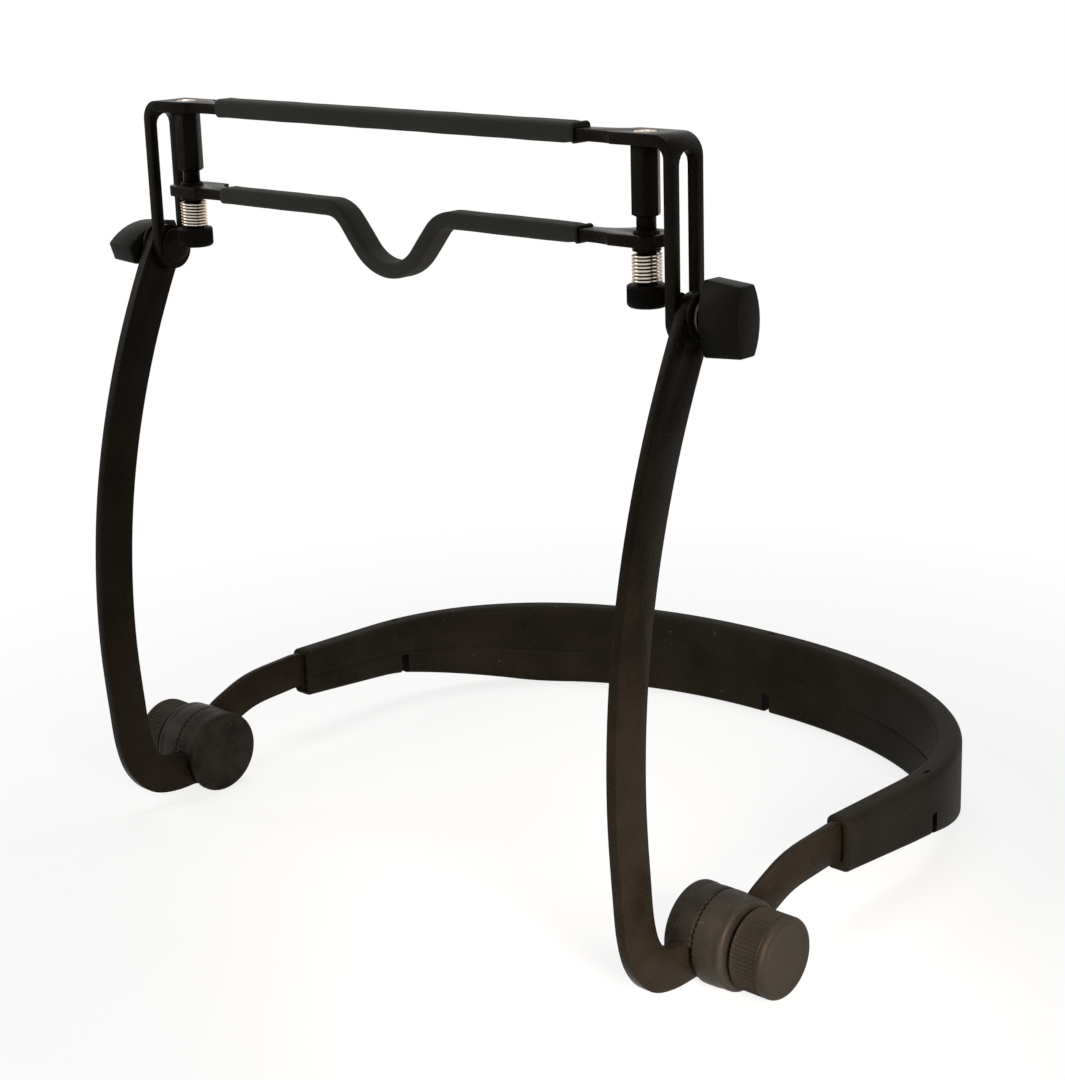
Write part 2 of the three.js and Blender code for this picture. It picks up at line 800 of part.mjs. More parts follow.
// One unbroken wire whose ends run straight up and down for one wire diameter
const coilFoot = springFoot + springWire;
const coilHeight = springLength - 2 * springWire;
const coilPoint = (share) => {
  const angle = 2 * Math.PI * springTurns * share;
  return [
    springRadius * Math.cos(angle),
    springRadius * Math.sin(angle),
    coilFoot + coilHeight * share,
  ];
};
const coilSteps = springTurns * springSteps;
const coil = Array.from({ length: coilSteps + 1 }, (_, i) => coilPoint(i / coilSteps));
const foot = [coil[0][0], coil[0][1], springFoot];
const head = [coil[coilSteps][0], coil[coilSteps][1], springTop];
const wireLine = [foot, ...coil, head];
function wire(line, across) {
  const rings = line.map((place, i) => {
    const before = line[Math.max(i - 1, 0)];
    const after = line[Math.min(i + 1, line.length - 1)];
    const along = new THREE.Vector3(...after).sub(new THREE.Vector3(...before)).normalize();
    const outwards = new THREE.Vector3(place[0], place[1], 0).normalize();
    const sideways = new THREE.Vector3().crossVectors(along, outwards).normalize();
    return Array.from({ length: springSides }, (_, k) => {
      const angle = (2 * Math.PI * k) / springSides;
      const at = new THREE.Vector3(...place)
        .addScaledVector(outwards, (springWire / 2) * Math.cos(angle))
        .addScaledVector(sideways, (springWire / 2) * Math.sin(angle));
      return [at.x + across, at.y, at.z];
    });
  });
  return skin(rings);
}
keepPair("jaw_spring", wire(wireLine, postHalf), "bright");
let wireGap = Infinity;
for (let i = 0; i < wireLine.length; i += 1) {
  for (let k = i + springSteps / 2; k < wireLine.length; k += 1) {
    const apart = new THREE.Vector3(...wireLine[i]).distanceTo(new THREE.Vector3(...wireLine[k]));
    wireGap = Math.min(wireGap, apart - springWire);
  }
}
console.log("least gap between the turns of a jaw spring", wireGap.toFixed(3));

const springNut = turned(
  "z",
  [
    [0, nutTop],
    [nutRadius - nutEdge / 2, nutTop],
    [nutRadius, nutTop - nutEdge / 2],
    [nutRadius, nutFoot + nutEdge],
    [nutRadius - nutEdge, nutFoot],
    [0, nutFoot],
  ],
  [postHalf, 0, 0],
  roundSides,
).subtract(
  disc("plan", postHalf, 0, shaftRadius + slideGap, nutFoot + nutFloor, nutTop + overrun),
);
keepPair("spring_nut", springNut, "plastic");

// Lower jaw and its sleeve follow one line with the dip in the middle
const jawLine = jawTop - jawThick / 2;
const shoulderWide = dipShoulder * Math.sin(dipAngle);
const shoulderDrop = dipShoulder * (1 - Math.cos(dipAngle));
const bowlWide = dipRadius * Math.sin(dipAngle);
const bowlDrop = dipRadius * (1 - Math.cos(dipAngle));
const slopeWide = (dipDepth - shoulderDrop - bowlDrop) / Math.tan(dipAngle);
const dipHalf = shoulderWide + slopeWide + bowlWide;
const rightShoulder = arc(
  dipHalf,
  jawLine - dipShoulder,
  dipShoulder,
  Math.PI / 2,
  Math.PI / 2 + dipAngle,
);
const bowl = arc(
  0,
  jawLine - dipDepth + dipRadius,
  dipRadius,
  -Math.PI / 2 + dipAngle,
  -Math.PI / 2 - dipAngle,
);
const leftShoulder = rightShoulder.map(([across, height]) => [-across, height]).reverse();
const dipLine = (half) => [
  [half, jawLine],
  ...rightShoulder,
  ...bowl,
  ...leftShoulder,
  [-half, jawLine],
];
const jawCut = flared(
  jawFlareStart,
  jawFlareEnd,
  -jawFront,
  jawBack,
  jawTip,
  jawFrontCorner,
  jawBackCorner,
);
let lowerJaw = push("front", strip(dipLine(jawTip + overrun), jawThick), -jawFront, jawBack)
  .intersect(push("plan", jawCut, jawFoot - dipDepth - overrun, jawTop + overrun));
for (const side of [-1, 1]) {
  const bore = [side * postHalf, 0, bushOuter + slideGap, jawFoot - overrun, jawTop + overrun];
  lowerJaw = lowerJaw.subtract(disc("plan", ...bore));
}
keep("lower_jaw", lowerJaw, "steel");

const lowerSleeveThick = jawThick + 2 * lowerSleeveWall;
keep(
  "lower_sleeve",
  push("front", strip(dipLine(lowerSleeveHalf), lowerSleeveThick), sleeveFront, sleeveRear)
    .subtract(
      push(
        "front",
        strip(dipLine(lowerSleeveHalf + overrun), jawThick + 2 * sleeveClear),
        barFront - sleeveClear,
        barRear + sleeveClear,
      ),
    ),
  "rubber",
);

// The origin is set under the middle of the whole part
const extent = new THREE.Box3().setFromObject(group);
const middle = extent.getCenter(new THREE.Vector3());
for (const mesh of group.children) mesh.geometry.translate(-middle.x, -middle.y, -extent.min.z);
console.log("moved by", -middle.x, -middle.y, -extent.min.z);
console.log("extent", extent.getSize(new THREE.Vector3()).toArray().join(" x "));

export default group;
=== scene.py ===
# %% [markdown]
# # Harmonica holder
# The holder is worn on the neck. A steel band in a rubber pad carries two toothed hubs, a curved arm
# rises from each, and a slotted frame with a sprung jaw sits between the tops of the arms. The packed
# solids already stand in the right places, so every size and place below is read from them, and this
# script adds the finishes and the fine forms that plain solids leave out.

import json
import math

import bpy
import numpy as np
from mathutils import Matrix, Vector


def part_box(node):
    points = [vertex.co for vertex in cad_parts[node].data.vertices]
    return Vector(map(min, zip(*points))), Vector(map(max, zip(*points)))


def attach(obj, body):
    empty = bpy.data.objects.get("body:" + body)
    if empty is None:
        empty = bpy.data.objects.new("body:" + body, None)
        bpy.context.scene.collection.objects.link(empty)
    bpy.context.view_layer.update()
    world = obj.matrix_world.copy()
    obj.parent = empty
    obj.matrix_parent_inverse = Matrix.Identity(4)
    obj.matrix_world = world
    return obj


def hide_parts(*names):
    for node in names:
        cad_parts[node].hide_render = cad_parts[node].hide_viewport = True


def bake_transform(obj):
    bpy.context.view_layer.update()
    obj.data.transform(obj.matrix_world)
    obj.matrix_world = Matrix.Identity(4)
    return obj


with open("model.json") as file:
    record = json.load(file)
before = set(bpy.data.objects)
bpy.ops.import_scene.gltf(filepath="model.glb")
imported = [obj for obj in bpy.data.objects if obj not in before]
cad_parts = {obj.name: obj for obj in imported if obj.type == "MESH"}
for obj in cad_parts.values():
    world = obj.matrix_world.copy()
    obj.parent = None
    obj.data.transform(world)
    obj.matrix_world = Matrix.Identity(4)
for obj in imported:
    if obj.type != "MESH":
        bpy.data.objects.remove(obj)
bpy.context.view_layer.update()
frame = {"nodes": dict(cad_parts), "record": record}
MM = 0.001
slots = {part["node"]: part["material_slot"] for part in frame["record"]["subparts"]}
node_body = {}
for body, nodes in frame["record"]["behaviour"]["bodies"].items():
    for node in nodes:
        node_body[node] = body

# %% [markdown]
# ## Places read from the solids
# The hubs, clamp bolts and posts are round, so the middle of a round node's box lies on its axis.
# Blender works in metres, but a maker thinks of such small pieces in millimetres. Shapes are
# therefore told in millimetres, and MM turns them into metres where a mesh is made.

# %% Axes of the round pieces
def low_high(node):
    """The two corners of a node's box, in millimetres."""
    low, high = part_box(node)
    return [v / MM for v in low], [v / MM for v in high]


def middle(node):
    """The middle of a node's box, in metres."""
    low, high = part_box(node)
    return (low + high) / 2


hub = middle("right_hub_bolt")
bolt = middle("right_clamp_bolt")
post = middle("right_guide_post")
hub_y = hub.y / MM
hub_z = hub.z / MM
bolt_y = bolt.y / MM
bolt_z = bolt.z / MM
post_x = post.x / MM
print("hub axis", round(hub_y, 2), round(hub_z, 2), "bolt axis", round(bolt_y, 2), round(bolt_z, 2))

# %% [markdown]
# ## Camera
# The photograph was taken from the front right and a little above, with a long lens, so that lines
# which run back hardly draw together. A camera can be turned by angles, but here it gets its three
# directions as a matrix, because the place it stands at, the point it looks at and its small roll
# are known. The shift moves the picture in the frame without turning the lens.

# %% Camera at the photograph's place
PHOTO_WIDTH = 1065
FOCAL_PIXELS = 2164
SHIFT_RIGHT_PIXELS = -30.8
SHIFT_UP_PIXELS = -55.5
SENSOR_WIDTH = 36
ROLL = -0.02674
EYE_RIGHT = 0.40055
EYE_BEFORE_BOLTS = 0.38009
EYE_UP = 0.26125
AIM_BEHIND_BOLTS = 0.060
AIM_UP = 0.099

eye = Vector((EYE_RIGHT, bolt.y - EYE_BEFORE_BOLTS, EYE_UP))
aim = Vector((0.0, bolt.y + AIM_BEHIND_BOLTS, AIM_UP))
ahead = (aim - eye).normalized()
level_right = ahead.cross(Vector((0, 0, 1))).normalized()
level_up = level_right.cross(ahead)
right = level_right * math.cos(ROLL) + level_up * math.sin(ROLL)
up = level_up * math.cos(ROLL) - level_right * math.sin(ROLL)

lens = bpy.data.cameras.new("photo_camera")
camera = bpy.data.objects.new("photo_camera", lens)
bpy.context.scene.collection.objects.link(camera)
camera.matrix_world = Matrix(
    (
        (right.x, up.x, -ahead.x, eye.x),
        (right.y, up.y, -ahead.y, eye.y),
        (right.z, up.z, -ahead.z, eye.z),
        (0, 0, 0, 1),
    )
)
lens.sensor_fit = "HORIZONTAL"
lens.sensor_width = SENSOR_WIDTH
lens.lens = FOCAL_PIXELS / PHOTO_WIDTH * SENSOR_WIDTH
lens.shift_x = SHIFT_RIGHT_PIXELS / PHOTO_WIDTH
lens.shift_y = SHIFT_UP_PIXELS / PHOTO_WIDTH
lens.clip_start = 0.01
lens.clip_end = 30
bpy.context.scene.camera = camera
print("lens", round(lens.lens, 2), "millimetres")

# %% [markdown]
# ## Helpers for shader nodes
# Every finish below is built from the same few nodes: noise for an uneven surface, a ramp that picks
# out part of it, and sums and mixes. Short functions that return a socket keep the later cells
# readable. Where a number will do as well as a socket, plug takes either.

# %% Noise, ramps, sums and mixes
def plug(tree, value, socket):
    """Gives a socket a plain number or links another socket to it."""
    if isinstance(value, (int, float)):
        socket.default_value = value
    else:
        tree.links.new(value, socket)


def noise(tree, vector, scale, detail, rough):
    node = tree.nodes.new("ShaderNodeTexNoise")
    node.inputs["Detail"].default_value = detail
    node.inputs["Roughness"].default_value = rough
    plug(tree, scale, node.inputs["Scale"])
    tree.links.new(vector, node.inputs["Vector"])
    return node.outputs["Fac"]


def ramp(tree, value, low, high, to_low=0.0, to_high=1.0):
    """A value between low and high told again between to_low and to_high, and held there."""
    node = tree.nodes.new("ShaderNodeMapRange")
    node.inputs["From Min"].default_value = low
    node.inputs["From Max"].default_value = high
    node.inputs["To Min"].default_value = to_low
    node.inputs["To Max"].default_value = to_high
    node.clamp = True
    tree.links.new(value, node.inputs["Value"])
    return node.outputs["Result"]


def math_node(tree, operation, first, second):
    node = tree.nodes.new("ShaderNodeMath")
    node.operation = operation
    plug(tree, first, node.inputs[0])
    plug(tree, second, node.inputs[1])
    return node.outputs[0]


def blended(tree, first, second, share):
    """A share of the first value and the rest of the second."""
    part = math_node(tree, "MULTIPLY", first, share)
    rest = math_node(tree, "MULTIPLY", second, 1 - share)
    return math_node(tree, "ADD", part, rest)


def mixed_colour(tree, share, first, second):
    """The first colour where the share is 0 and the second where it is 1; either may be a socket."""
    node = tree.nodes.new("ShaderNodeMix")
    node.data_type = "RGBA"
    tree.links.new(share, node.inputs["Factor"])
    for label, colour in (("A", first), ("B", second)):
        if isinstance(colour, tuple):
            node.inputs[label].default_value = (*colour, 1)
        else:
            tree.links.new(colour, node.inputs[label])
    return node.outputs["Result"]


print("helpers for shader nodes are ready")

# %% [markdown]
# ## One grain for all finishes
# Coated steel, moulded plastic and rubber are all uneven in the same way: a broad mottling, a fine
# grain and a few specks of dust. Only the sizes differ. A node group with these sizes as inputs is
# built once and placed in every material, which is easier to tune than ten copies of the same nodes.

# %% The surface_grain group
SPECK_SCALE = 420.0
SPECK_LOW = 0.71
SPECK_HIGH = 0.78
BROAD_TONE_SHARE = 0.7
BROAD_ROUGH_SHARE = 0.5


def grain_group():
    """Tone, roughness and height from two sizes of grain, and dust from sparse specks."""
    group = bpy.data.node_groups.new("surface_grain", "ShaderNodeTree")
    group.interface.new_socket("Vector", in_out="INPUT", socket_type="NodeSocketVector")
    for label, value in (("Grain", 900.0), ("Mottle", 40.0), ("Specks", 0.5)):
        socket = group.interface.new_socket(label, in_out="INPUT", socket_type="NodeSocketFloat")
        socket.default_value = value
    for label in ("Tone", "Rough", "Height", "Dust"):
        group.interface.new_socket(label, in_out="OUTPUT", socket_type="NodeSocketFloat")
    start = group.nodes.new("NodeGroupInput").outputs
    end = group.nodes.new("NodeGroupOutput").inputs
    fine = noise(group, start["Vector"], start["Grain"], detail=4.0, rough=0.6)
    broad = noise(group, start["Vector"], start["Mottle"], detail=3.0, rough=0.55)
    speck = noise(group, start["Vector"], SPECK_SCALE, detail=2.0, rough=0.5)
    dust = math_node(group, "MULTIPLY", ramp(group, speck, SPECK_LOW, SPECK_HIGH), start["Specks"])
    group.links.new(blended(group, broad, fine, BROAD_TONE_SHARE), end["Tone"])
    group.links.new(blended(group, broad, fine, BROAD_ROUGH_SHARE), end["Rough"])
    group.links.new(fine, end["Height"])
    group.links.new(dust, end["Dust"])
    return group


surface_grain = grain_group()
print("group", surface_grain.name, "with", len(surface_grain.nodes), "nodes")

# %% [markdown]
# ## How a finish is put together
# A finish goes from a dark tone to a light one with the mottling, from one roughness to another with
# the grain, and gets a slight bump. Real black paint and plastic reflect little and warmly, so the
# shine is low and tinted. Object coordinates keep the grain at its true size on every piece.

# %% A material from one finish
DUST_COLOUR = (0.12, 0.11, 0.1)
WARM_SHINE = (1, 0.84, 0.68, 1)
BUMP_HEIGHT = 0.0002
TONE_LOW = 0.35
TONE_HIGH = 0.65
ROUGH_LOW = 0.3
ROUGH_HIGH = 0.7


def finish(name, dark, light, rough, grain, mottle, bump, specks, shine=0.2, metal=0.0):
    """A material whose tone runs from dark to light and whose roughness runs over a pair."""
    made = bpy.data.materials.new(name)
    made.use_nodes = True
    tree = made.node_tree
    shader = tree.nodes["Principled BSDF"].inputs
    place = tree.nodes.new("ShaderNodeTexCoord")
    surface = tree.nodes.new("ShaderNodeGroup")
    surface.node_tree = surface_grain
    surface.inputs["Grain"].default_value = grain
    surface.inputs["Mottle"].default_value = mottle
    surface.inputs["Specks"].default_value = specks
    tree.links.new(place.outputs["Object"], surface.inputs["Vector"])
    tone = ramp(tree, surface.outputs["Tone"], TONE_LOW, TONE_HIGH)
    mottled = mixed_colour(tree, tone, dark, light)
    dusty = mixed_colour(tree, surface.outputs["Dust"], mottled, DUST_COLOUR)
    tree.links.new(dusty, shader["Base Color"])
    uneven_rough = ramp(tree, surface.outputs["Rough"], ROUGH_LOW, ROUGH_HIGH, *rough)
    tree.links.new(uneven_rough, shader["Roughness"])
    bumps = tree.nodes.new("ShaderNodeBump")
    bumps.inputs["Strength"].default_value = bump
    bumps.inputs["Distance"].default_value = BUMP_HEIGHT
    tree.links.new(surface.outputs["Height"], bumps.inputs["Height"])
    tree.links.new(bumps.outputs["Normal"], shader["Normal"])
    shader["Specular IOR Level"].default_value = shine
    shader["Specular Tint"].default_value = WARM_SHINE
    shader["Metallic"].default_value = metal
    return made


print("a finish is one call from here on")

# %% [markdown]
# ## Steel finishes
# The band, arms, frame and jaw are flat steel under a black coat that is faintly hammered, so this
# finish has a strong bump. The springs and screws are bare bright steel, and the lock washers are
# duller. A metal shows its colour in its reflections, so bare steel has a light tone.

# %% Black coat, wound steel and dull steel
black_coat = finish(
    "black_coat",
    dark=(0.0066, 0.005, 0.0036),
    light=(0.0142, 0.0112, 0.0082),
    rough=(0.22, 0.36),
    grain=1100,
    mottle=60,
    bump=0.6,
    specks=0.1,
    shine=0.035,
)
wound_steel = finish(
    "wound_steel",
    dark=(0.5, 0.45, 0.39),
    light=(0.68, 0.62, 0.54),
    rough=(0.16, 0.3),
    grain=2500,
    mottle=120,
    bump=0.06,
    specks=0.0,
    metal=1.0,
)
dull_steel = finish(
    "dull_steel",
    dark=(0.045, 0.041, 0.036),
    light=(0.1, 0.092, 0.082),
    rough=(0.3, 0.45),
    grain=2500,
    mottle=120,
    bump=0.1,
    specks=0.0,
    metal=1.0,
)
print("steel finishes", black_coat.name, wound_steel.name, dull_steel.name)

# %% [markdown]
# ## Plastic finishes
# The hubs, knobs, paddles and nuts are all black plastic, yet they look different: the knobs are
# rubbed to a dull brown, the arm's half of each hub is worn in patches, and the paddles and nuts
# are nearly new. So each has its own two tones and its own roughness.

# %% Moulded, turned, worn, paddle and nut plastic
moulded_plastic = finish(
    "moulded_plastic",
    dark=(0.0103, 0.0091, 0.0073),
    light=(0.0252, 0.0224, 0.0181),
    rough=(0.34, 0.52),
    grain=1900,
    mottle=70,
    bump=0.3,
    specks=0.25,
    shine=0.07,
)
turned_plastic = finish(
    "turned_plastic",
    dark=(0.0132, 0.0112, 0.0089),
    light=(0.02, 0.0171, 0.0137),
    rough=(0.46, 0.6),
    grain=2200,
    mottle=60,
    bump=0.35,
    specks=0.3,
    shine=0.1,
)
worn_plastic = finish(
    "worn_plastic",
    dark=(0.0034, 0.003, 0.0025),
    light=(0.0155, 0.0136, 0.0113),
    rough=(0.34, 0.6),
    grain=1400,
    mottle=160,
    bump=0.7,
    specks=0.3,
    shine=0.07,
)
paddle_plastic = finish(
    "paddle_plastic",
    dark=(0.0075, 0.0073, 0.0062),
    light=(0.0165, 0.0163, 0.0138),
    rough=(0.4, 0.55),
    grain=2000,
    mottle=90,
    bump=0.25,
    specks=0.2,
    shine=0.05,
)
black_nut = finish(
    "black_nut",
    dark=(0.004, 0.0036, 0.003),
    light=(0.008, 0.0072, 0.006),
    rough=(0.42, 0.6),
    grain=1800,
    mottle=90,
    bump=0.2,
    specks=0.2,
    shine=0.04,
)
print("plastic finishes", moulded_plastic.name, turned_plastic.name, worn_plastic.name)

# %% [markdown]
# ## Rubber finishes
# The sleeves on the two bars are greenish black and matt. The neck pad is darker, browner and a
# little smoother. Rubber scatters light evenly, so both are rough and hardly shine.

# %% Sleeve and pad rubber, and a finish for every node
sleeve_moulding = finish(
    "sleeve_moulding",
    dark=(0.036, 0.036, 0.031),
    light=(0.052, 0.052, 0.045),
    rough=(0.62, 0.8),
    grain=1300,
    mottle=50,
    bump=0.25,
    specks=0.4,
    shine=0.06,
)
pad_moulding = finish(
    "pad_moulding",
    dark=(0.0045, 0.0038, 0.0026),
    light=(0.0138, 0.012, 0.0086),
    rough=(0.5, 0.68),
    grain=1200,
    mottle=42,
    bump=0.45,
    specks=0.25,
    shine=0.05,
)
looks = {
    "black_steel": black_coat,
    "bright_steel": wound_steel,
    "black_plastic": moulded_plastic,
    "sleeve_rubber": sleeve_moulding,
    "pad_rubber": pad_moulding,
}
for name, node in frame["nodes"].items():
    node.data.materials.clear()
    node.data.materials.append(looks[slots[name]])
print("materials", [made.name for made in bpy.data.materials])

# %% [markdown]
# ## Working on a piece
# An operator acts on everything that is selected, and the solids are still selected after loading.
# So a piece is always selected alone before it is opened in edit mode, and a modifier is applied as
# soon as it is set, so that the piece holds its final mesh.

# %% Select, open, close and finish
def alone(piece):
    bpy.ops.object.select_all(action="DESELECT")
    piece.select_set(True)
    bpy.context.view_layer.objects.active = piece


def opened(piece):
    """Opens a piece in edit mode with all of it selected."""
    alone(piece)
    bpy.ops.object.mode_set(mode="EDIT")
    bpy.ops.mesh.select_all(action="SELECT")


def closed():
    bpy.ops.object.mode_set(mode="OBJECT")


def finished(piece, modifier):
    alone(piece)
    bpy.ops.object.modifier_apply(modifier=modifier.name)


def object_of(name, mesh):
    piece = bpy.data.objects.new(name, mesh)
    bpy.context.scene.collection.objects.link(piece)
    return piece


def shade(piece, crisp_over):
    """Smooth faces, with a crisp edge where two of them meet at more than an angle in degrees."""
    for face in piece.data.polygons:
        face.use_smooth = True
    piece.data.set_sharp_from_angle(angle=math.radians(crisp_over))


def dressed(piece, node, look=None, rides=True):
    """Names a piece after a node, hides the node, ties the piece to the node's body if it rides, and gives
    it a finish: the one given, or the one for the node's slot.
    """
    piece.name = f"{node}_look"
    if rides:
        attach(piece, node_body[node])
    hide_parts(node)
    piece.data.materials.clear()
    piece.data.materials.append(look or looks[slots[node]])


print("selected at the start", len(bpy.context.selected_objects))

# %% [markdown]
# ## Flat steel, paddles, washers and posts
# A real edge is never quite sharp, and its narrow rounding catches the light. The solids already have
# the right form, so each is copied, its loose triangles are merged and its flat faces made whole, and
# a Bevel modifier rounds its edges. Faces that are whole let the bevel run evenly along each edge.

# %% Softened edges
MERGE_REACH = 1e-6
FLAT_ANGLE = 0.6
EDGE_ANGLE = 35
BEVEL_STEPS = 2
edge_width = {
    "upper_frame": 0.35,
    "lower_jaw": 0.35,
    "neck_band": 0.3,
    "arm": 0.45,
    "tilt_knob": 0.35,
    "flat_washer": 0.12,
    "lock_washer": 0.2,
    "guide_post": 0.15,
    "jaw_bush": 0.12,
}
own_look = {"tilt_knob": paddle_plastic, "lock_washer": dull_steel}


def softened(node, width, look):
    piece = object_of(f"{node}_look", frame["nodes"][node].data.copy())
    opened(piece)
    bpy.ops.mesh.remove_doubles(threshold=MERGE_REACH)
    bpy.ops.mesh.dissolve_limited(angle_limit=math.radians(FLAT_ANGLE), delimit=set())
    closed()
    bevel = piece.modifiers.new("edge", "BEVEL")
    bevel.width = width * MM
    bevel.segments = BEVEL_STEPS
    bevel.limit_method = "ANGLE"
    bevel.angle_limit = math.radians(EDGE_ANGLE)
    bevel.use_clamp_overlap = True
    finished(piece, bevel)
    dressed(piece, node, look)
    shade(piece, crisp_over=32)
    return piece


for name, width in edge_width.items():
    both = [name] if name in slots else [f"right_{name}", f"left_{name}"]
    for node in both:
        made = softened(node, width, own_look.get(name))
    print(name, len(made.data.polygons), "faces")

# %% [markdown]
# ## Skins over rings
# The sleeves, the pad, the springs and the cutting tools are sections that follow a path. A bevelled
# curve could give an even one, but the pad's section changes on its way. So rings of points are
# placed one behind another, and faces are laid between them, either as a closed loop or with ends.

# %% Rings, arcs and outlines
def rings_joined(rings, loop=False):
    """Points and faces of a skin over rings of equal counts: a closed loop, or one with flat ends."""
    count = len(rings[0])
    points = [point for ring in rings for point in ring]
    faces = []
    last = len(rings) if loop else len(rings) - 1
    for number in range(last):
        here = number * count
        there = (number + 1) % len(rings) * count
        for k in range(count):
            after = (k + 1) % count
            faces.append((here + k, here + after, there + after, there + k))
    if not loop:
        faces.append(tuple(range(count))[::-1])
        faces.append(tuple(range((len(rings) - 1) * count, len(rings) * count)))
    return points, faces


def skinned(name, points, faces):
    """A piece from points in millimetres and the faces between them, turned outwards."""
    mesh = bpy.data.meshes.new(name)
    mesh.from_pydata([(x * MM, y * MM, z * MM) for x, y, z in points], [], faces)
    piece = object_of(name, mesh)
    opened(piece)
    bpy.ops.mesh.normals_make_consistent(inside=False)
    closed()
    return piece


def arc(middle_a, middle_b, radius, start, end, count):
    """Points of a round corner between two angles in degrees."""
    turns = [math.radians(degrees) for degrees in np.linspace(start, end, count)]
    return [(middle_a + radius * math.cos(t), middle_b + radius * math.sin(t)) for t in turns]


def rounded(low, high, radius, steps):
    """Points of a rounded rectangle between two corners, anticlockwise."""
    points = []
    corners = (
        (high[0], low[1], -90),
        (high[0], high[1], 0),
        (low[0], high[1], 90),
        (low[0], low[1], 180),
    )
    for a, b, start in corners:
        middle_a = a - math.copysign(radius, a - (low[0] + high[0]) / 2)
        middle_b = b - math.copysign(radius, b - (low[1] + high[1]) / 2)
        points += arc(middle_a, middle_b, radius, start, start + 90, steps + 1)
    return points


print("a rounded square of 4 steps has", len(rounded((0, 0), (1, 1), 0.2, 4)), "points")

# %% [markdown]
# ## Rubber sleeves
# Each sleeve is a thick tube with a rounded section, pushed over its bar. It is slightly uneven, and
# its ends roll in and stay open, so that the bar comes out of a dark mouth. The rings run along the
# outside from one mouth to the other and back through the bore, which closes the skin as a loop. At
# the second mouth they start at the tip and step back to the full section before the bore.

# %% A sleeve over a line
SLEEVE_ROUND = 1.35
LEAST_ROUND = 0.25
MOUTH_ROUND = 0.5
BORE_SET_BACK = 0.15
BORE_HALF = 2.75
BORE_GAP = 0.15
CORNER_STEPS = 5
SLEEVE_RINGS = 40
SWELL = 0.05
HALF_CIRCLE = [math.pi * k / 8 for k in range(9)]
QUARTER_TURNS = HALF_CIRCLE[:5]


def unevenness(along):
    """How far in from its full size a sleeve is, which varies a little and slowly."""
    return SWELL + SWELL * math.sin(along * 0.31) * math.sin(along * 0.117 + 1.3)


def sleeve_section(half, low, high, inset):
    corner = max(SLEEVE_ROUND - inset, LEAST_ROUND)
    return rounded((-half + inset, low + inset), (half - inset, high - inset), corner, CORNER_STEPS)


def distances(line):
    """How far along a line each of its points is."""
    steps = np.linalg.norm(np.diff(line, axis=0), axis=1)
    return np.concatenate([[0], np.cumsum(steps)])


def sleeve(node, places, bar, low, high):
    """A tube over a line of places in X and Z; its foot, its head and the bar are told from the line."""
    line = np.array(places)
    way = np.gradient(line, axis=0)
    way /= np.linalg.norm(way, axis=1)[:, None]
    lengths = distances(line)
    end = lengths[-1]
    box_low, box_high = low_high(node)
    middle_y = (box_low[1] + box_high[1]) / 2
    half = (box_high[1] - box_low[1]) / 2

    def ring(at, section):
        px = np.interp(at, lengths, line[:, 0])
        pz = np.interp(at, lengths, line[:, 1])
        tx = np.interp(at, lengths, way[:, 0])
        tz = np.interp(at, lengths, way[:, 1])
        return [(px - tz * v, middle_y + u, pz + tx * v) for u, v in section]

    def rolled(turn):
        """How far in from a mouth a ring of its rolled edge lies, and its section."""
        inset = MOUTH_ROUND * (1 - math.cos(turn))
        return MOUTH_ROUND * (1 - math.sin(turn)), sleeve_section(half, low, high, inset)

    even_stops = np.linspace(MOUTH_ROUND, end - MOUTH_ROUND, SLEEVE_RINGS)
    stops = np.unique(np.concatenate([even_stops, lengths]))
    stops = [at for at in stops if MOUTH_ROUND <= at <= end - MOUTH_ROUND]
    bore_low = -bar / 2 - BORE_GAP
    bore_high = bar / 2 + BORE_GAP
    bore = rounded((-BORE_HALF, bore_low), (BORE_HALF, bore_high), LEAST_ROUND, CORNER_STEPS)
    rings = []
    for turn in reversed(QUARTER_TURNS):
        depth, section = rolled(turn)
        rings.append(ring(depth, section))
    for at in stops[1:-1]:
        rings.append(ring(at, sleeve_section(half, low, high, unevenness(at))))
    for turn in reversed(QUARTER_TURNS):
        depth, section = rolled(turn)
        rings.append(ring(end - depth, section))
    rings.append(ring(end - BORE_SET_BACK, bore))
    for at in reversed(stops):
        rings.append(ring(at, bore))
    rings.append(ring(BORE_SET_BACK, bore))
    piece = skinned(f"{node}_look", *rings_joined(rings, loop=True))
    dressed(piece, node)
    shade(piece, crisp_over=50)
    return piece


print("a sleeve's section has", len(sleeve_section(4, -2, 2, 0)), "points")

# %% [markdown]
# ## Upper sleeve
# The upper bar is straight, so its sleeve needs only a straight line of places along the middle of
# the bar's thickness.

# %% Sleeve on the upper bar
STRAP = 2.8
STRAIGHT_PLACES = 30
sleeve_low, sleeve_high = low_high("upper_sleeve")
bar_line = low_high("upper_frame")[1][2] - STRAP / 2
straight = np.linspace(-sleeve_high[0], sleeve_high[0], STRAIGHT_PLACES)
upper_places = [(x, bar_line) for x in straight]
foot = sleeve_low[2] - bar_line
head = sleeve_high[2] - bar_line
upper_sleeve = sleeve("upper_sleeve", upper_places, STRAP, foot, head)
print("upper sleeve", len(upper_sleeve.data.polygons), "faces")

# %% [markdown]
# ## Lower sleeve
# The jaw dips in the middle, and its sleeve follows the dip. The line is built from a straight
# stretch, a round shoulder and half of a round bowl, then mirrored. The slope between shoulder and
# bowl comes by itself, because the skin runs straight between their ends.

# %% Sleeve through the dip
JAW = 2.9
SLEEVE_WALL = 0.75
DIP_DEPTH = 14.5
DIP_RADIUS = 13.5
SHOULDER = 9.0
DIP_ANGLE = math.radians(50)
DIP_STEPS = 13
OUTER_PLACES = 12
OUTER_GAP = 2
jaw_line = low_high("lower_jaw")[1][2] - JAW / 2


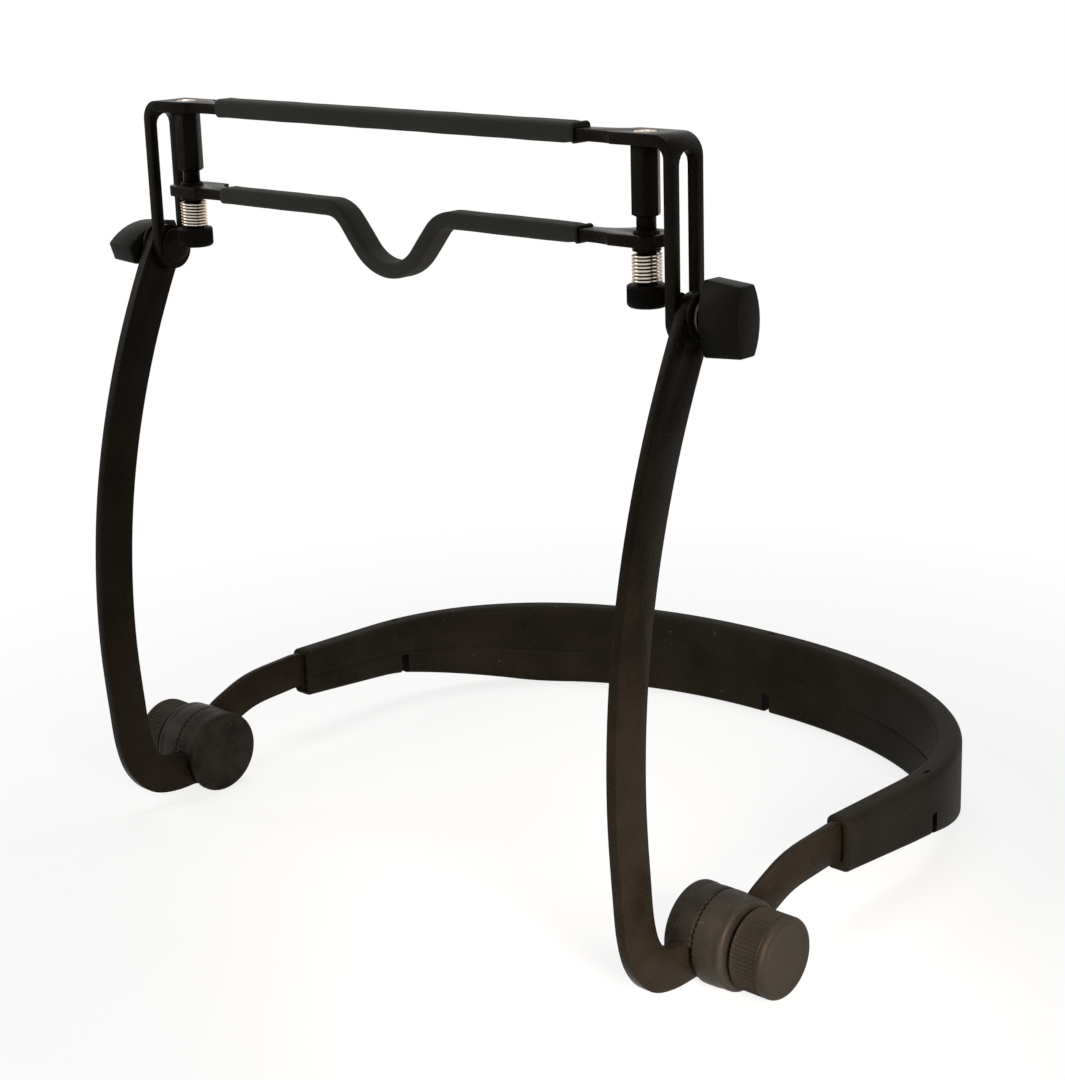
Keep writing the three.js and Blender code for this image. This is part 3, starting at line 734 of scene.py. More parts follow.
def round_stretch(radius, turn):
    """How far a round stretch has gone sideways and down at an angle."""
    return radius * math.sin(turn), radius * (1 - math.cos(turn))


shoulder_wide, shoulder_drop = round_stretch(SHOULDER, DIP_ANGLE)
bowl_wide, bowl_drop = round_stretch(DIP_RADIUS, DIP_ANGLE)
slope_wide = (DIP_DEPTH - shoulder_drop - bowl_drop) / math.tan(DIP_ANGLE)
dip_half = shoulder_wide + slope_wide + bowl_wide
shares = np.linspace(0, 1, DIP_STEPS)
right_end = low_high("lower_sleeve")[1][0]
outer_stretch = np.linspace(right_end, dip_half + OUTER_GAP, OUTER_PLACES)
half_line = [(x, jaw_line) for x in outer_stretch]
for share in shares:
    wide, drop = round_stretch(SHOULDER, DIP_ANGLE * share)
    half_line.append((dip_half - wide, jaw_line - drop))
for share in shares:
    wide, drop = round_stretch(DIP_RADIUS, DIP_ANGLE * (1 - share))
    half_line.append((wide, jaw_line - DIP_DEPTH + drop))
dip_line = [(-x, z) for x, z in half_line] + half_line[-2::-1]
lower_sleeve = sleeve("lower_sleeve", dip_line, JAW, -JAW / 2 - SLEEVE_WALL, JAW / 2 + SLEEVE_WALL)
print("lower sleeve", len(lower_sleeve.data.polygons), "faces")

# %% [markdown]
# ## Neck pad: its line
# The pad is moulded rubber round the back of the neck. From above, two straight sides run back and
# a bend joins them that is fuller than a circle, so it is drawn as a superellipse: an ellipse whose
# power is a little over 2. The points are then spread evenly, so that the rings stand evenly too.

# %% Middle line of the pad from above
PAD_THICK = 7.3
CURVE_POWER = 2.2
BAND_HALF_THICK = 1.0
SIDE_END_BEHIND_BOLT = 77.3
SIDE_POINTS = 16
BEND_POINTS = 46
RING_STEP = 1.6
pad_low, pad_high = low_high("neck_pad")
pad_start = pad_low[1]
pad_back = pad_high[1]
side_end = SIDE_END_BEHIND_BOLT + bolt_y
band_x = low_high("neck_band")[1][0] - BAND_HALF_THICK


def neck_line():
    depth = pad_back - PAD_THICK / 2 - side_end
    power = 2 / CURVE_POWER
    half = [(band_x, y) for y in np.linspace(pad_start, side_end, SIDE_POINTS)[:-1]]
    for k in range(BEND_POINTS):
        angle = math.pi / 2 * k / BEND_POINTS
        half.append((band_x * math.cos(angle) ** power, side_end + depth * math.sin(angle) ** power))
    return half + [(0, pad_back - PAD_THICK / 2)] + [(-x, y) for x, y in reversed(half)]


def spread_evenly(places, step):
    line = np.array(places)
    lengths = distances(line)
    stops = np.linspace(0, lengths[-1], int(lengths[-1] / step))
    return np.stack([np.interp(stops, lengths, line[:, 0]), np.interp(stops, lengths, line[:, 1])], axis=1)


pad_line = spread_evenly(neck_line(), RING_STEP)
pad_way = np.gradient(pad_line, axis=0)
pad_way /= np.linalg.norm(pad_way, axis=1)[:, None]
print("pad line of", len(pad_line), "places")

# %% [markdown]
# ## Neck pad: its heights and section
# The pad's top falls slightly from the ends to the back. Its foot falls more, down to the ground at
# the back, in a smooth sweep, which is a mean of straight stretches. The section has round corners,
# larger at the top, and a fine crease on the inner side where the two halves of the mould met.

# %% Heights and section of the pad
PAD_TOP = 29.9
PAD_FALL = 3.4
PAD_FOOT = 14.9
PAD_TALL = 17.5
FOOT_RISE_AHEAD = 2.7
BEYOND = 30
SWEEP_SHARE = 0.35
GROUND_SHARE = 0.75
SMOOTH_REACH = 5
SMOOTH_STEPS = 11
LOW_ROUND = 1.7
TOP_ROUND = 2.2
LEAST_PAD_ROUND = 0.3
CREASE_SHARE = 0.57
CREASE_ROOM = 0.05
side_shares = (0.25, 0.5, 0.75)
crease_cut = ((3.2, 0), (1.1, 0.03), (0.45, 0.14), (0, 0.42), (-0.4, 0.14), (-1.1, 0.03), (-2.2, 0))


def pad_top(y):
    return float(np.interp(y, [pad_start, pad_back], [PAD_TOP, PAD_TOP - PAD_FALL]))


def pad_foot(y):
    length = pad_back - pad_start
    sweep = pad_start + SWEEP_SHARE * length
    ground = pad_start + GROUND_SHARE * length
    sweep_foot = PAD_TOP - PAD_FALL * SWEEP_SHARE - PAD_TALL
    places = [pad_start - BEYOND, pad_start, sweep, (sweep + ground) / 2, ground, pad_back + BEYOND]
    heights = [PAD_FOOT + FOOT_RISE_AHEAD, PAD_FOOT, sweep_foot, sweep_foot / 2, 0, 0]
    near = np.linspace(-SMOOTH_REACH, SMOOTH_REACH, SMOOTH_STEPS)
    return float(np.mean([np.interp(y + d, places, heights) for d in near]))


def pad_section(foot, top, inset):
    """Distance out from the middle line and height, round the section from its outer foot."""
    half = PAD_THICK / 2 - inset
    low = foot + inset
    high = top - inset
    r_low = max(LOW_ROUND - inset, LEAST_PAD_ROUND)
    r_top = max(TOP_ROUND - inset, LEAST_PAD_ROUND)
    points = arc(half - r_low, low + r_low, r_low, -90, 0, 6)
    for share in side_shares:
        points.append((half, low + r_low + (high - r_top - low - r_low) * share))
    points += arc(half - r_top, high - r_top, r_top, 0, 90, 7)
    points += arc(-half + r_top, high - r_top, r_top, 90, 180, 7)
    crease = top - (top - foot) * CREASE_SHARE
    for rise, deep in crease_cut:
        height = min(max(crease + rise, low + r_low + CREASE_ROOM), high - r_top - CREASE_ROOM)
        points.append((-half + deep, height))
    return points + arc(-half + r_low, low + r_low, r_low, 180, 270, 6)


print("pad foot at the start and the back", round(pad_foot(pad_start), 2), round(pad_foot(pad_back), 2))

# %% [markdown]
# ## Neck pad: its skin
# Each ring stands square to the line. At both ends the rings shrink as the quarter of a circle does,
# which rounds the ends. The rest are drawn in by a hair, so that the skin stays inside the solid. At
# the last end the rings start at the tip and step back to the full section.

# %% Rings of the pad
END_ROUND = 1.15
HAIR = 0.02


def pad_ring(number, shift, inset):
    """The section at one place of the line, moved along it and drawn in."""
    px, py = pad_line[number]
    tx, ty = pad_way[number]
    px = px + tx * shift
    py = py + ty * shift
    section = pad_section(pad_foot(py), pad_top(py), inset)
    return [(px + ty * out, py - tx * out, z) for out, z in section]


def pad_end(number, way):
    """Rings of one rounded end, from the smallest section at its tip to the full one."""
    rings = []
    for turn in reversed(QUARTER_TURNS):
        shift = way * END_ROUND * (1 - math.sin(turn))
        rings.append(pad_ring(number, shift, END_ROUND * (1 - math.cos(turn))))
    return rings


pad_rings = pad_end(0, 1)
for number in range(1, len(pad_line) - 1):
    pad_rings.append(pad_ring(number, 0, HAIR))
pad_rings += pad_end(-1, -1)
neck_pad = skinned("neck_pad_look", *rings_joined(pad_rings))
print("skin of the pad", len(pad_rings), "rings", len(neck_pad.data.polygons), "faces")

# %% [markdown]
# ## Neck pad: notches, holes and pockets
# Three slots with rounded heads are cut up from the lower edge, each with a small oval hole above it
# in the top edge, and a pocket in each end takes the steel band. They are cut with booleans, because
# a slot through a curved skin is hard to model by hand: an outline is pushed through the pad as a
# cutter and then removed.

# %% Cutters and how they are used
def prism(outline, low, high, axis):
    """A cutting tool: an outline pushed along X, Y or Z."""
    if axis == "x":
        rings = [[(at, a, b) for a, b in outline] for at in (low, high)]
    elif axis == "y":
        rings = [[(a, at, b) for a, b in outline] for at in (low, high)]
    else:
        rings = [[(a, b, at) for a, b in outline] for at in (low, high)]
    return skinned("cutter", *rings_joined(rings))


def carved(piece, cutters):
    """Takes each cutter away from a piece and then removes it."""
    for cutter in cutters:
        cut = piece.modifiers.new("cut", "BOOLEAN")
        cut.operation = "DIFFERENCE"
        cut.solver = "EXACT"
        cut.object = cutter
        finished(piece, cut)
        bpy.data.objects.remove(cutter)


def slot_outline(centre, half, low, high, corner):
    """A slot from its open foot to its head, whose two corners are rounded."""
    head = high - corner
    top = []
    for side in (1, -1):
        turns = QUARTER_TURNS if side > 0 else HALF_CIRCLE[4:]
        middle_a = centre + side * (half - corner)
        top += [(middle_a + corner * math.cos(t), head + corner * math.sin(t)) for t in turns]
    return [(centre - half, low), (centre + half, low), *top]


HOLE_SIDES = 16


def oval(a, b, half_a, half_b):
    """An outline of two half circles with straight sides between them."""
    radius = min(half_a, half_b)
    reach = abs(half_a - half_b)
    outline = []
    for k in range(HOLE_SIDES):
        turn = 2 * math.pi * (k + 0.5) / HOLE_SIDES
        away_a = radius * math.cos(turn)
        away_b = radius * math.sin(turn)
        if half_a > half_b:
            away_a += math.copysign(reach, away_a)
        else:
            away_b += math.copysign(reach, away_b)
        outline.append((a + away_a, b + away_b))
    return outline


print("an oval hole has", len(oval(0, 0, 1, 2)), "points")

# %% [markdown]
# ## Neck pad: carving it
# The same slot serves at the back and, pushed right through both sides, at the left and right. Each
# cutter runs past the rubber on purpose, because two surfaces that lie in one plane upset a boolean.

# %% The carved pad
NOTCH_BEHIND_BOLT = 89
NOTCH_HALF = 1.4
NOTCH_TALL = 6.6
NOTCH_CORNER = 0.6
NOTCH_OVERRUN = 4
SIDE_OVERRUN = 9
HOLE_SHORT = 0.6
HOLE_LONG = 1.3
HOLE_FLOOR = 23.5
HOLE_OVER = 34
POCKET_MIDDLE = 23.45
POCKET_BELOW = 5.6
POCKET_ABOVE = 4.9
POCKET_HALF = 2.0
POCKET_CORNER = 0.8
POCKET_DEEP = 3
POCKET_OVERRUN = 5
notch_y = NOTCH_BEHIND_BOLT + bolt_y
side_foot = pad_foot(notch_y)


def notch_cutters():
    side_low = side_foot - NOTCH_OVERRUN
    beside = slot_outline(notch_y, NOTCH_HALF, side_low, side_foot + NOTCH_TALL, NOTCH_CORNER)
    behind = slot_outline(0, NOTCH_HALF, -NOTCH_OVERRUN, NOTCH_TALL, NOTCH_CORNER)
    reach = band_x + SIDE_OVERRUN
    back_from = pad_back - PAD_THICK - NOTCH_OVERRUN
    return [prism(beside, -reach, reach, "x"), prism(behind, back_from, pad_back + NOTCH_OVERRUN, "y")]


def hole_cutters():
    outlines = [
        oval(band_x, notch_y, HOLE_SHORT, HOLE_LONG),
        oval(-band_x, notch_y, HOLE_SHORT, HOLE_LONG),
        oval(0, pad_back - PAD_THICK / 2, HOLE_LONG, HOLE_SHORT),
    ]
    return [prism(outline, HOLE_FLOOR, HOLE_OVER, "z") for outline in outlines]


def pocket_cutters():
    cutters = []
    for x in (band_x, -band_x):
        low = (x - POCKET_HALF, POCKET_MIDDLE - POCKET_BELOW)
        high = (x + POCKET_HALF, POCKET_MIDDLE + POCKET_ABOVE)
        outline = rounded(low, high, POCKET_CORNER, 3)
        cutters.append(prism(outline, pad_start - POCKET_OVERRUN, pad_start + POCKET_DEEP, "y"))
    return cutters


carved(neck_pad, notch_cutters() + hole_cutters() + pocket_cutters())
dressed(neck_pad, "neck_pad")
shade(neck_pad, crisp_over=48)
print("neck pad", len(neck_pad.data.polygons), "faces")

# %% [markdown]
# ## Neck pad: painted shade in the notches
# Hardly any light reaches the walls of a slot that is a few millimetres wide. A mask in the pad's
# material paints that shade onto them as a near-black colour. It compares Object coordinates with
# the places of the slots, so the painted shade stays with the pad in every pose.

# %% Painted shade on the walls of the notches
WALL_MARGIN = 0.04
# Painted shade: the near-black colour given to the notch walls.
NOTCH_PAINTED_SHADE = (0.0004, 0.0004, 0.0003)
wall_half = (NOTCH_HALF + WALL_MARGIN) * MM
wall_tall = (NOTCH_TALL + WALL_MARGIN) * MM


def notch_shade_mask(tree):
    """One inside the three notches, where shade is painted, and none elsewhere on the pad."""
    place = tree.nodes.new("ShaderNodeTexCoord")
    parts = tree.nodes.new("ShaderNodeSeparateXYZ")
    tree.links.new(place.outputs["Object"], parts.inputs["Vector"])
    x, y, z = (parts.outputs[axis] for axis in "XYZ")
    across = math_node(tree, "LESS_THAN", math_node(tree, "ABSOLUTE", x, 0), wall_half)
    behind = math_node(tree, "MULTIPLY", across, math_node(tree, "LESS_THAN", z, wall_tall))
    off_side = math_node(tree, "ABSOLUTE", math_node(tree, "SUBTRACT", y, notch_y * MM), 0)
    along = math_node(tree, "LESS_THAN", off_side, wall_half)
    low = math_node(tree, "LESS_THAN", z, side_foot * MM + wall_tall)
    return math_node(tree, "MAXIMUM", behind, math_node(tree, "MULTIPLY", along, low))


# Paints shade into the pad's base colour on the notch walls.
def paint_notch_shade(look):
    tree = look.node_tree
    base_colour = tree.nodes["Principled BSDF"].inputs["Base Color"]
    plain = base_colour.links[0].from_socket
    tree.links.new(mixed_colour(tree, notch_shade_mask(tree), plain, NOTCH_PAINTED_SHADE), base_colour)


paint_notch_shade(pad_moulding)
print("nodes in the pad's finish", len(pad_moulding.node_tree.nodes))

# %% [markdown]
# ## Turned pieces
# Knobs, nuts, hub halves, screws and bolt heads are round about an axis. They are shaped as on a
# lathe: a circle of points is added at the first radius, extruded along the axis and resized for each
# next radius of a profile, and both ends are drawn to a point. A Spin of the profile would do as
# well, but here the form can be followed step by step. Operators may store the points and faces in
# another order in each run, so these are put in order. Flutes and teeth are then cut in code.

# %% A lathe
UPRIGHT = {"x": (0, math.pi / 2, 0), "z": (0, 0, 0)}
ACROSS = {"x": (0, 1, 1), "z": (1, 1, 0)}


def on_axis(axis, centre, along):
    """A point of a turned piece's axis, in metres."""
    a, b = centre
    return Vector((along, a, b) if axis == "x" else (a, b, along)) * MM


def drawn_to_point(step):
    """Extrudes the selected ring by a step and merges it at its middle."""
    bpy.ops.mesh.extrude_region_move(TRANSFORM_OT_translate={"value": step})
    bpy.ops.mesh.merge(type="CENTER")


def in_order(piece):
    """Stores points by their places, and faces by their points, so that every run is the same."""
    places = [tuple(point.co) for point in piece.data.vertices]
    order = sorted(range(len(places)), key=lambda number: places[number])
    new_number = {old: new for new, old in enumerate(order)}
    faces = []
    for face in piece.data.polygons:
        corners = [new_number[number] for number in face.vertices]
        first = corners.index(min(corners))
        faces.append(corners[first:] + corners[:first])
    piece.data.clear_geometry()
    piece.data.from_pydata([places[number] for number in order], [], sorted(faces))


def turned(profile, axis, centre, sides):
    """A piece from pairs of radius and place along X or Z; the first and last pair are its tips."""
    radius, along = profile[1]
    bpy.ops.object.select_all(action="DESELECT")
    bpy.ops.mesh.primitive_circle_add(
        vertices=sides,
        radius=radius * MM,
        location=on_axis(axis, centre, along),
        rotation=UPRIGHT[axis],
    )
    piece = bpy.context.active_object
    bpy.ops.object.transform_apply(location=True, rotation=True, scale=True)
    opened(piece)
    bpy.ops.mesh.select_mode(type="VERT")
    for next_radius, next_along in profile[2:-1]:
        there = on_axis(axis, centre, next_along)
        step = there - on_axis(axis, centre, along)
        bpy.ops.mesh.extrude_region_move(TRANSFORM_OT_translate={"value": step})
        growth = [next_radius / radius if across else 1 for across in ACROSS[axis]]
        bpy.ops.transform.resize(value=growth, center_override=there)
        radius = next_radius
        along = next_along
    drawn_to_point(on_axis(axis, centre, profile[-1][1]) - on_axis(axis, centre, along))
    bpy.ops.mesh.select_all(action="DESELECT")
    bpy.ops.mesh.select_non_manifold()
    drawn_to_point(on_axis(axis, centre, profile[0][1]) - on_axis(axis, centre, profile[1][1]))
    bpy.ops.mesh.select_all(action="SELECT")
    bpy.ops.mesh.normals_make_consistent(inside=False)
    closed()
    in_order(piece)
    return piece


def cut_round(piece, axis, centre, change):
    """Moves each point to the radius and place that a change gives for its angle, radius and place."""
    for point in piece.data.vertices:
        x, y, z = point.co / MM
        along, a, b = (x, y, z) if axis == "x" else (z, x, y)
        a -= centre[0]
        b -= centre[1]
        radius = math.hypot(a, b)
        angle = math.atan2(b, a)
        new_radius, new_along = change(angle, radius, along)
        if (new_radius, new_along) != (radius, along):
            a = centre[0] + new_radius * math.cos(angle)
            b = centre[1] + new_radius * math.sin(angle)
            point.co = Vector((new_along, a, b) if axis == "x" else (a, b, new_along)) * MM


def profile_part(radius, start, pairs):
    """Radius and place for pairs of how far in from a radius and how far on from a start."""
    return [(radius - inset, start + rise) for inset, rise in pairs]


def round_edge(radius, start, size, way, steps):
    """Radius and place round an edge of a turned piece, from its side towards an end face."""
    turns = [math.pi / 2 * k / steps for k in range(steps + 1)]
    return [(radius - size * (1 - math.cos(t)), start + way * size * math.sin(t)) for t in turns]


print("a round edge of 6 steps has", len(round_edge(10, 0, 1, 1, 6)), "places")

# %% [markdown]
# ## Left and right
# The holder is the same on both sides, so a piece is made once, on the right, and copied with its own
# mesh for the left. A mirror turns every face inside out, which is why the copy's faces are flipped.

# %% A pair of pieces
def mirrored(piece):
    copy = object_of("mirrored", piece.data.copy())
    copy.data.transform(Matrix.Diagonal((-1, 1, 1, 1)))
    copy.data.flip_normals()
    return copy


def pair(piece, name, crisp_over, look=None):
    """Dresses a right piece and its mirrored copy."""
    for side, made in (("right", piece), ("left", mirrored(piece))):
        dressed(made, f"{side}_{name}", look)
        shade(made, crisp_over)
    print(name, len(piece.data.polygons), "faces")


print("pairs are mirrored at the middle plane, x = 0")

# %% [markdown]
# ## Hub knobs
# A knob draws the two halves of each hub together. Its side has fine flutes for the fingers, then a
# groove and a smooth rim, and its face is bare and very slightly sunk. Flutes could be cut one by
# one, but sixty booleans are slow, and a wave round the piece gives them their soft valleys.

# %% Fluted hub knobs
KNOB_NECK_RADIUS = 4.2
KNOB_NECK = 1.0
KNOB_RIM = 2.1
KNOB_EDGE = 1.35
KNOB_FACE_DEEP = 0.1
KNOB_SIDES = 360
KNOB_FLUTES = 60
KNOB_FLUTE_DEEP = 0.38
KNOB_FLUTE_FADE = 0.3
KNOB_FLUTES_FROM = 0.55
KNOB_FLUTES_BEYOND = 0.02
FLUTED_FROM_RADIUS = 4
FLUTE_POWER = 0.7
knob_back = ((1.1, 0), (0.4, 0.05), (0.1, 0.3), (0, 0.6), (0, 0.85), (0, 3), (0, 5))
knob_groove = ((0, -0.5), (0, -0.25), (0.02, 0), (0.14, 0.12), (0.02, 0.3))
knob_face = ((1.75, 0), (2.1, -0.08), (4, -0.1))


def fluted(count, depth, start, end, fade):
    """Flutes between two places along the axis, which fade out at both."""

    def change(angle, radius, along):
        share = min((along - start) / fade, (end - along) / fade, 1)
        if share <= 0 or radius < FLUTED_FROM_RADIUS:
            return radius, along
        wave = 0.5 - 0.5 * math.cos(count * angle)
        return radius - depth * share * wave**FLUTE_POWER, along

    return change


knob_low, knob_high = low_high("right_hub_knob")
knob_radius = (knob_high[2] - knob_low[2]) / 2
knob_start = knob_low[0] + KNOB_NECK
knob_end = knob_high[0]
flute_end = knob_end - KNOB_RIM
profile = [(0, knob_low[0]), (KNOB_NECK_RADIUS, knob_low[0]), (KNOB_NECK_RADIUS, knob_start)]
profile += profile_part(knob_radius, knob_start, knob_back)
profile += profile_part(knob_radius, flute_end, knob_groove)
profile += round_edge(knob_radius, knob_end - KNOB_EDGE, KNOB_EDGE, 1, 6)
profile += profile_part(knob_radius, knob_end, knob_face)
profile += [(0, knob_end - KNOB_FACE_DEEP)]
hub_centre = (hub_y, hub_z)
hub_knob = turned(profile, "x", hub_centre, KNOB_SIDES)
first = knob_start + KNOB_FLUTES_FROM
last = flute_end + KNOB_FLUTES_BEYOND
knob_flutes = fluted(KNOB_FLUTES, KNOB_FLUTE_DEEP, first, last, KNOB_FLUTE_FADE)
cut_round(hub_knob, "x", hub_centre, knob_flutes)
pair(hub_knob, "hub_knob", crisp_over=38, look=turned_plastic)

# %% [markdown]
# ## Spring nuts
# A round nut on the foot of each post sets how hard the spring presses. It is made as the hub knob
# is, with finer flutes, a domed foot and a blind hole for the spring's end and the post.

# %% Fluted spring nuts
NUT_FOOT_ROUND = 1.1
NUT_HEAD_ROUND = 0.5
NUT_HEAD_BORE = 2.75
NUT_BORE = 2.55
NUT_BORE_EDGE = 0.2
NUT_FLOOR = 1.2
NUT_SIDES = 240
NUT_FLUTES = 48
NUT_FLUTE_DEEP = 0.2
NUT_FLUTE_FADE = 0.4
NUT_FLUTES_ABOVE_FOOT = 1.0
NUT_FLUTES_BELOW_HEAD = 0.4
nut_low, nut_high = low_high("right_spring_nut")
nut_radius = (nut_high[0] - nut_low[0]) / 2
nut_foot = nut_low[2]
nut_head = nut_high[2]
profile = [(0, nut_foot)]
profile += round_edge(nut_radius, nut_foot + NUT_FOOT_ROUND, NUT_FOOT_ROUND, -1, 8)[::-1]
profile += profile_part(nut_radius, nut_foot, ((0, 1.35), (0, 2.2), (0, 3.2)))
profile += profile_part(nut_radius, nut_head, ((0, -1.0), (0, -0.7)))
profile += round_edge(nut_radius, nut_head - NUT_HEAD_ROUND, NUT_HEAD_ROUND, 1, 3)
profile += [(NUT_HEAD_BORE, nut_head), (NUT_BORE, nut_head - NUT_BORE_EDGE)]
profile += [(NUT_BORE, nut_foot + NUT_FLOOR), (0, nut_foot + NUT_FLOOR)]
post_centre = (post_x, bolt_y)
spring_nut = turned(profile, "z", post_centre, NUT_SIDES)
first = nut_foot + NUT_FLUTES_ABOVE_FOOT
last = nut_head - NUT_FLUTES_BELOW_HEAD
nut_flutes = fluted(NUT_FLUTES, NUT_FLUTE_DEEP, first, last, NUT_FLUTE_FADE)
cut_round(spring_nut, "z", post_centre, nut_flutes)
pair(spring_nut, "spring_nut", crisp_over=38, look=black_nut)

# %% [markdown]
# ## Toothed hubs
# Each hub is a joint of two moulded halves. A ring of teeth on one meets a ring on the other, and
# from outside the seam shows as a row of dark dots. The rings beside the seam are moved in and back
# between the teeth, which gives real hollows that look dark from every side.

# %% Teeth at the seam
HUB_SIDES = 288
HUB_TEETH = 48
TOOTH_BAND = 1.2
TOOTH_REACH = 0.45
TOOTH_BACK = 0.2
TOOTH_IN = 0.16
TOOTH_POWER = 1.6
half_low, half_high = low_high("right_hub_arm_half")
hub_radius = (half_high[2] - half_low[2]) / 2
cap = half_low[0]
seam_in = half_high[0]


def toothed(start, way):
    """Rings beyond a place along X run in and back between the teeth."""

    def change(angle, radius, along):
        if radius > hub_radius - TOOTH_BAND and (along - start) * way > 0:
            valley = (0.5 - 0.5 * math.cos(HUB_TEETH * angle)) ** TOOTH_POWER
            return radius - TOOTH_IN * valley, along - way * TOOTH_BACK * valley
        return radius, along

    return change


print("hub", round(2 * hub_radius, 2), "mm across, seam at", round(seam_in, 2))

# %% [markdown]
# ## Arm's half of the hub
# The inner half ends in a round cap and has a slight waist. At the front it is broken open where the
# foot of the arm goes in, with a jagged upper edge. That mouth is cut with two outlines: a deep one
# that makes room for the arm, and a shallow one that breaks the cap's rim.

# %% Inner half with its broken mouth
CAP_ROUND = 0.9
SEAM_RIM = 1.25
SEAM_DEEP = 0.6
MOUTH_RISE = 1.9
MOUTH_SIDE = 0.3
MOUTH_DROP = 0.8
BREAK_SIDE = 1.1
BREAK_OVERLAP = 0.2
MOUTH_FOOT = -6
MOUTH_AHEAD = 16
ROOM_BEHIND = 2.3
BREAK_AHEAD = 7.2
SEAM_OVERRUN = 2
waist = ((0, 2.3), (0.05, 2.7), (0.18, 2.95), (0.2, 3.6), (0.16, 4.4), (0.08, 5.4))
seam_side = ((0.04, -1.3), (0.05, -0.46), (0.12, -0.12), (0.3, 0), (SEAM_RIM, 0), (1.3, -SEAM_DEEP))
arm_inner = low_high("right_arm")[0][0]
mouth_top = hub_z + MOUTH_RISE


def room_outline():
    """Where the arm's foot goes in, with the jagged edge over it."""
    jagged = (
        (-MOUTH_SIDE, -1.2),
        (0.15, -1.35),
        (0.5, -0.7),
        (1.0, 0.35),
        (1.35, 0.8),
        (1.7, 0.55),
        (2.1, 0.75),
        (2.6, 0.2),
        (3.2, -0.5),
    )
    edge = [(arm_inner + a, mouth_top + b) for a, b in jagged]
    beyond = seam_in + SEAM_OVERRUN
    far_side = [(beyond, MOUTH_FOOT), (beyond, mouth_top - MOUTH_DROP)]
    return [*far_side, *edge[::-1], (arm_inner - MOUTH_SIDE, MOUTH_FOOT)]


def break_outline():
    """The broken piece of the cap's rim, beside the arm."""
    cap_edge = ((BREAK_SIDE, 5.2), (1.4, 3.6), (2.1, 2.4))
    arm_edge = ((-0.9, 1.7), (-0.2, 1.6), (BREAK_OVERLAP, 1.9))
    edge = [(cap + a, mouth_top - b) for a, b in cap_edge]
    edge += [(arm_inner + a, mouth_top - b) for a, b in arm_edge]
    return [(arm_inner + BREAK_OVERLAP, MOUTH_FOOT), *edge[::-1], (cap + BREAK_SIDE, MOUTH_FOOT)]


profile = [(0, cap)]
profile += round_edge(hub_radius, cap + CAP_ROUND, CAP_ROUND, -1, 8)[::-1]
profile += profile_part(hub_radius, cap, waist)
profile += profile_part(hub_radius, seam_in, seam_side)
profile += [(0, seam_in - SEAM_DEEP)]
arm_half = turned(profile, "x", hub_centre, HUB_SIDES)
cut_round(arm_half, "x", hub_centre, toothed(seam_in - TOOTH_REACH, 1))
mouth_front = hub_y - MOUTH_AHEAD
room = prism(room_outline(), mouth_front, hub_y + ROOM_BEHIND, "y")
broken = prism(break_outline(), mouth_front, hub_y - BREAK_AHEAD, "y")
carved(arm_half, [room, broken])
pair(arm_half, "hub_arm_half", crisp_over=36, look=worn_plastic)

# %% [markdown]
# ## Neck band's half of the hub
# The outer half is whole. It runs from the seam over a low bead to a rounded shoulder, and its end is
# slightly sunk round the knob.

# %% Outer half
SHOULDER_ROUND = 1.2
SHOULDER_IN = 0.3
END_RECESS_RADIUS = 5.5
END_RECESS = 0.6
seam_start = ((1.3, SEAM_DEEP), (SEAM_RIM, 0), (0.3, 0), (0.12, 0.12), (0.05, 0.46), (0.02, 1.3), (0.1, 4.2))
bead = ((0.3, -3.1), (0.42, -2.4), (0.3, -1.9))
end_face = ((2.6, -0.15),)
neck_low, neck_high = low_high("right_hub_neck_half")
seam_out = neck_low[0]
neck_end = neck_high[0]
shoulder_radius = hub_radius - SHOULDER_IN
profile = [(0, seam_out + SEAM_DEEP)]
profile += profile_part(hub_radius, seam_out, seam_start)
profile += profile_part(hub_radius, neck_end, bead)
profile += round_edge(shoulder_radius, neck_end - SHOULDER_ROUND, SHOULDER_ROUND, 1, 8)
profile += profile_part(hub_radius, neck_end, end_face)
profile += [(END_RECESS_RADIUS, neck_end - END_RECESS), (0, neck_end - END_RECESS)]
neck_half = turned(profile, "x", hub_centre, HUB_SIDES)
cut_round(neck_half, "x", hub_centre, toothed(seam_out + TOOTH_REACH, -1))
pair(neck_half, "hub_neck_half", crisp_over=36)

# %% [markdown]
# ## Coil springs
# A spring under each end of the jaw pushes it up. It is wound from bright wire, and its last coils
# are closed, so that it stands square. A Screw modifier winds at one pitch only, so a loop places a
# small ring of points for every step of the wire.

# %% Wound springs
WIRE = 0.58
WIRE_SIDES = 12
COILS = 8.4
COIL_STEPS = 32
CLOSED_COILS = 0.75
CLOSED_PITCH = WIRE * 1.06
COIL_CLEARANCE = 0.02
FIRST_ANGLE = 0.6
TIP_SHARE = 0.75
spring_low, spring_high = low_high("right_jaw_spring")
spring_foot = spring_low[2]
spring_head = spring_high[2]
coil_radius = (spring_high[0] - spring_low[0]) / 2 - WIRE / 2 - COIL_CLEARANCE
free_height = spring_head - spring_foot - WIRE - 2 * CLOSED_COILS * CLOSED_PITCH
free_pitch = free_height / (COILS - 2 * CLOSED_COILS)


def coil_height(turn):
    """Height of the wire's middle, with a small pitch in the closed coils and a larger one between."""
    below = min(turn, CLOSED_COILS) * CLOSED_PITCH
    between = max(min(turn, COILS - CLOSED_COILS) - CLOSED_COILS, 0) * free_pitch
    above = max(turn - COILS + CLOSED_COILS, 0) * CLOSED_PITCH
    return spring_foot + WIRE / 2 + below + between + above


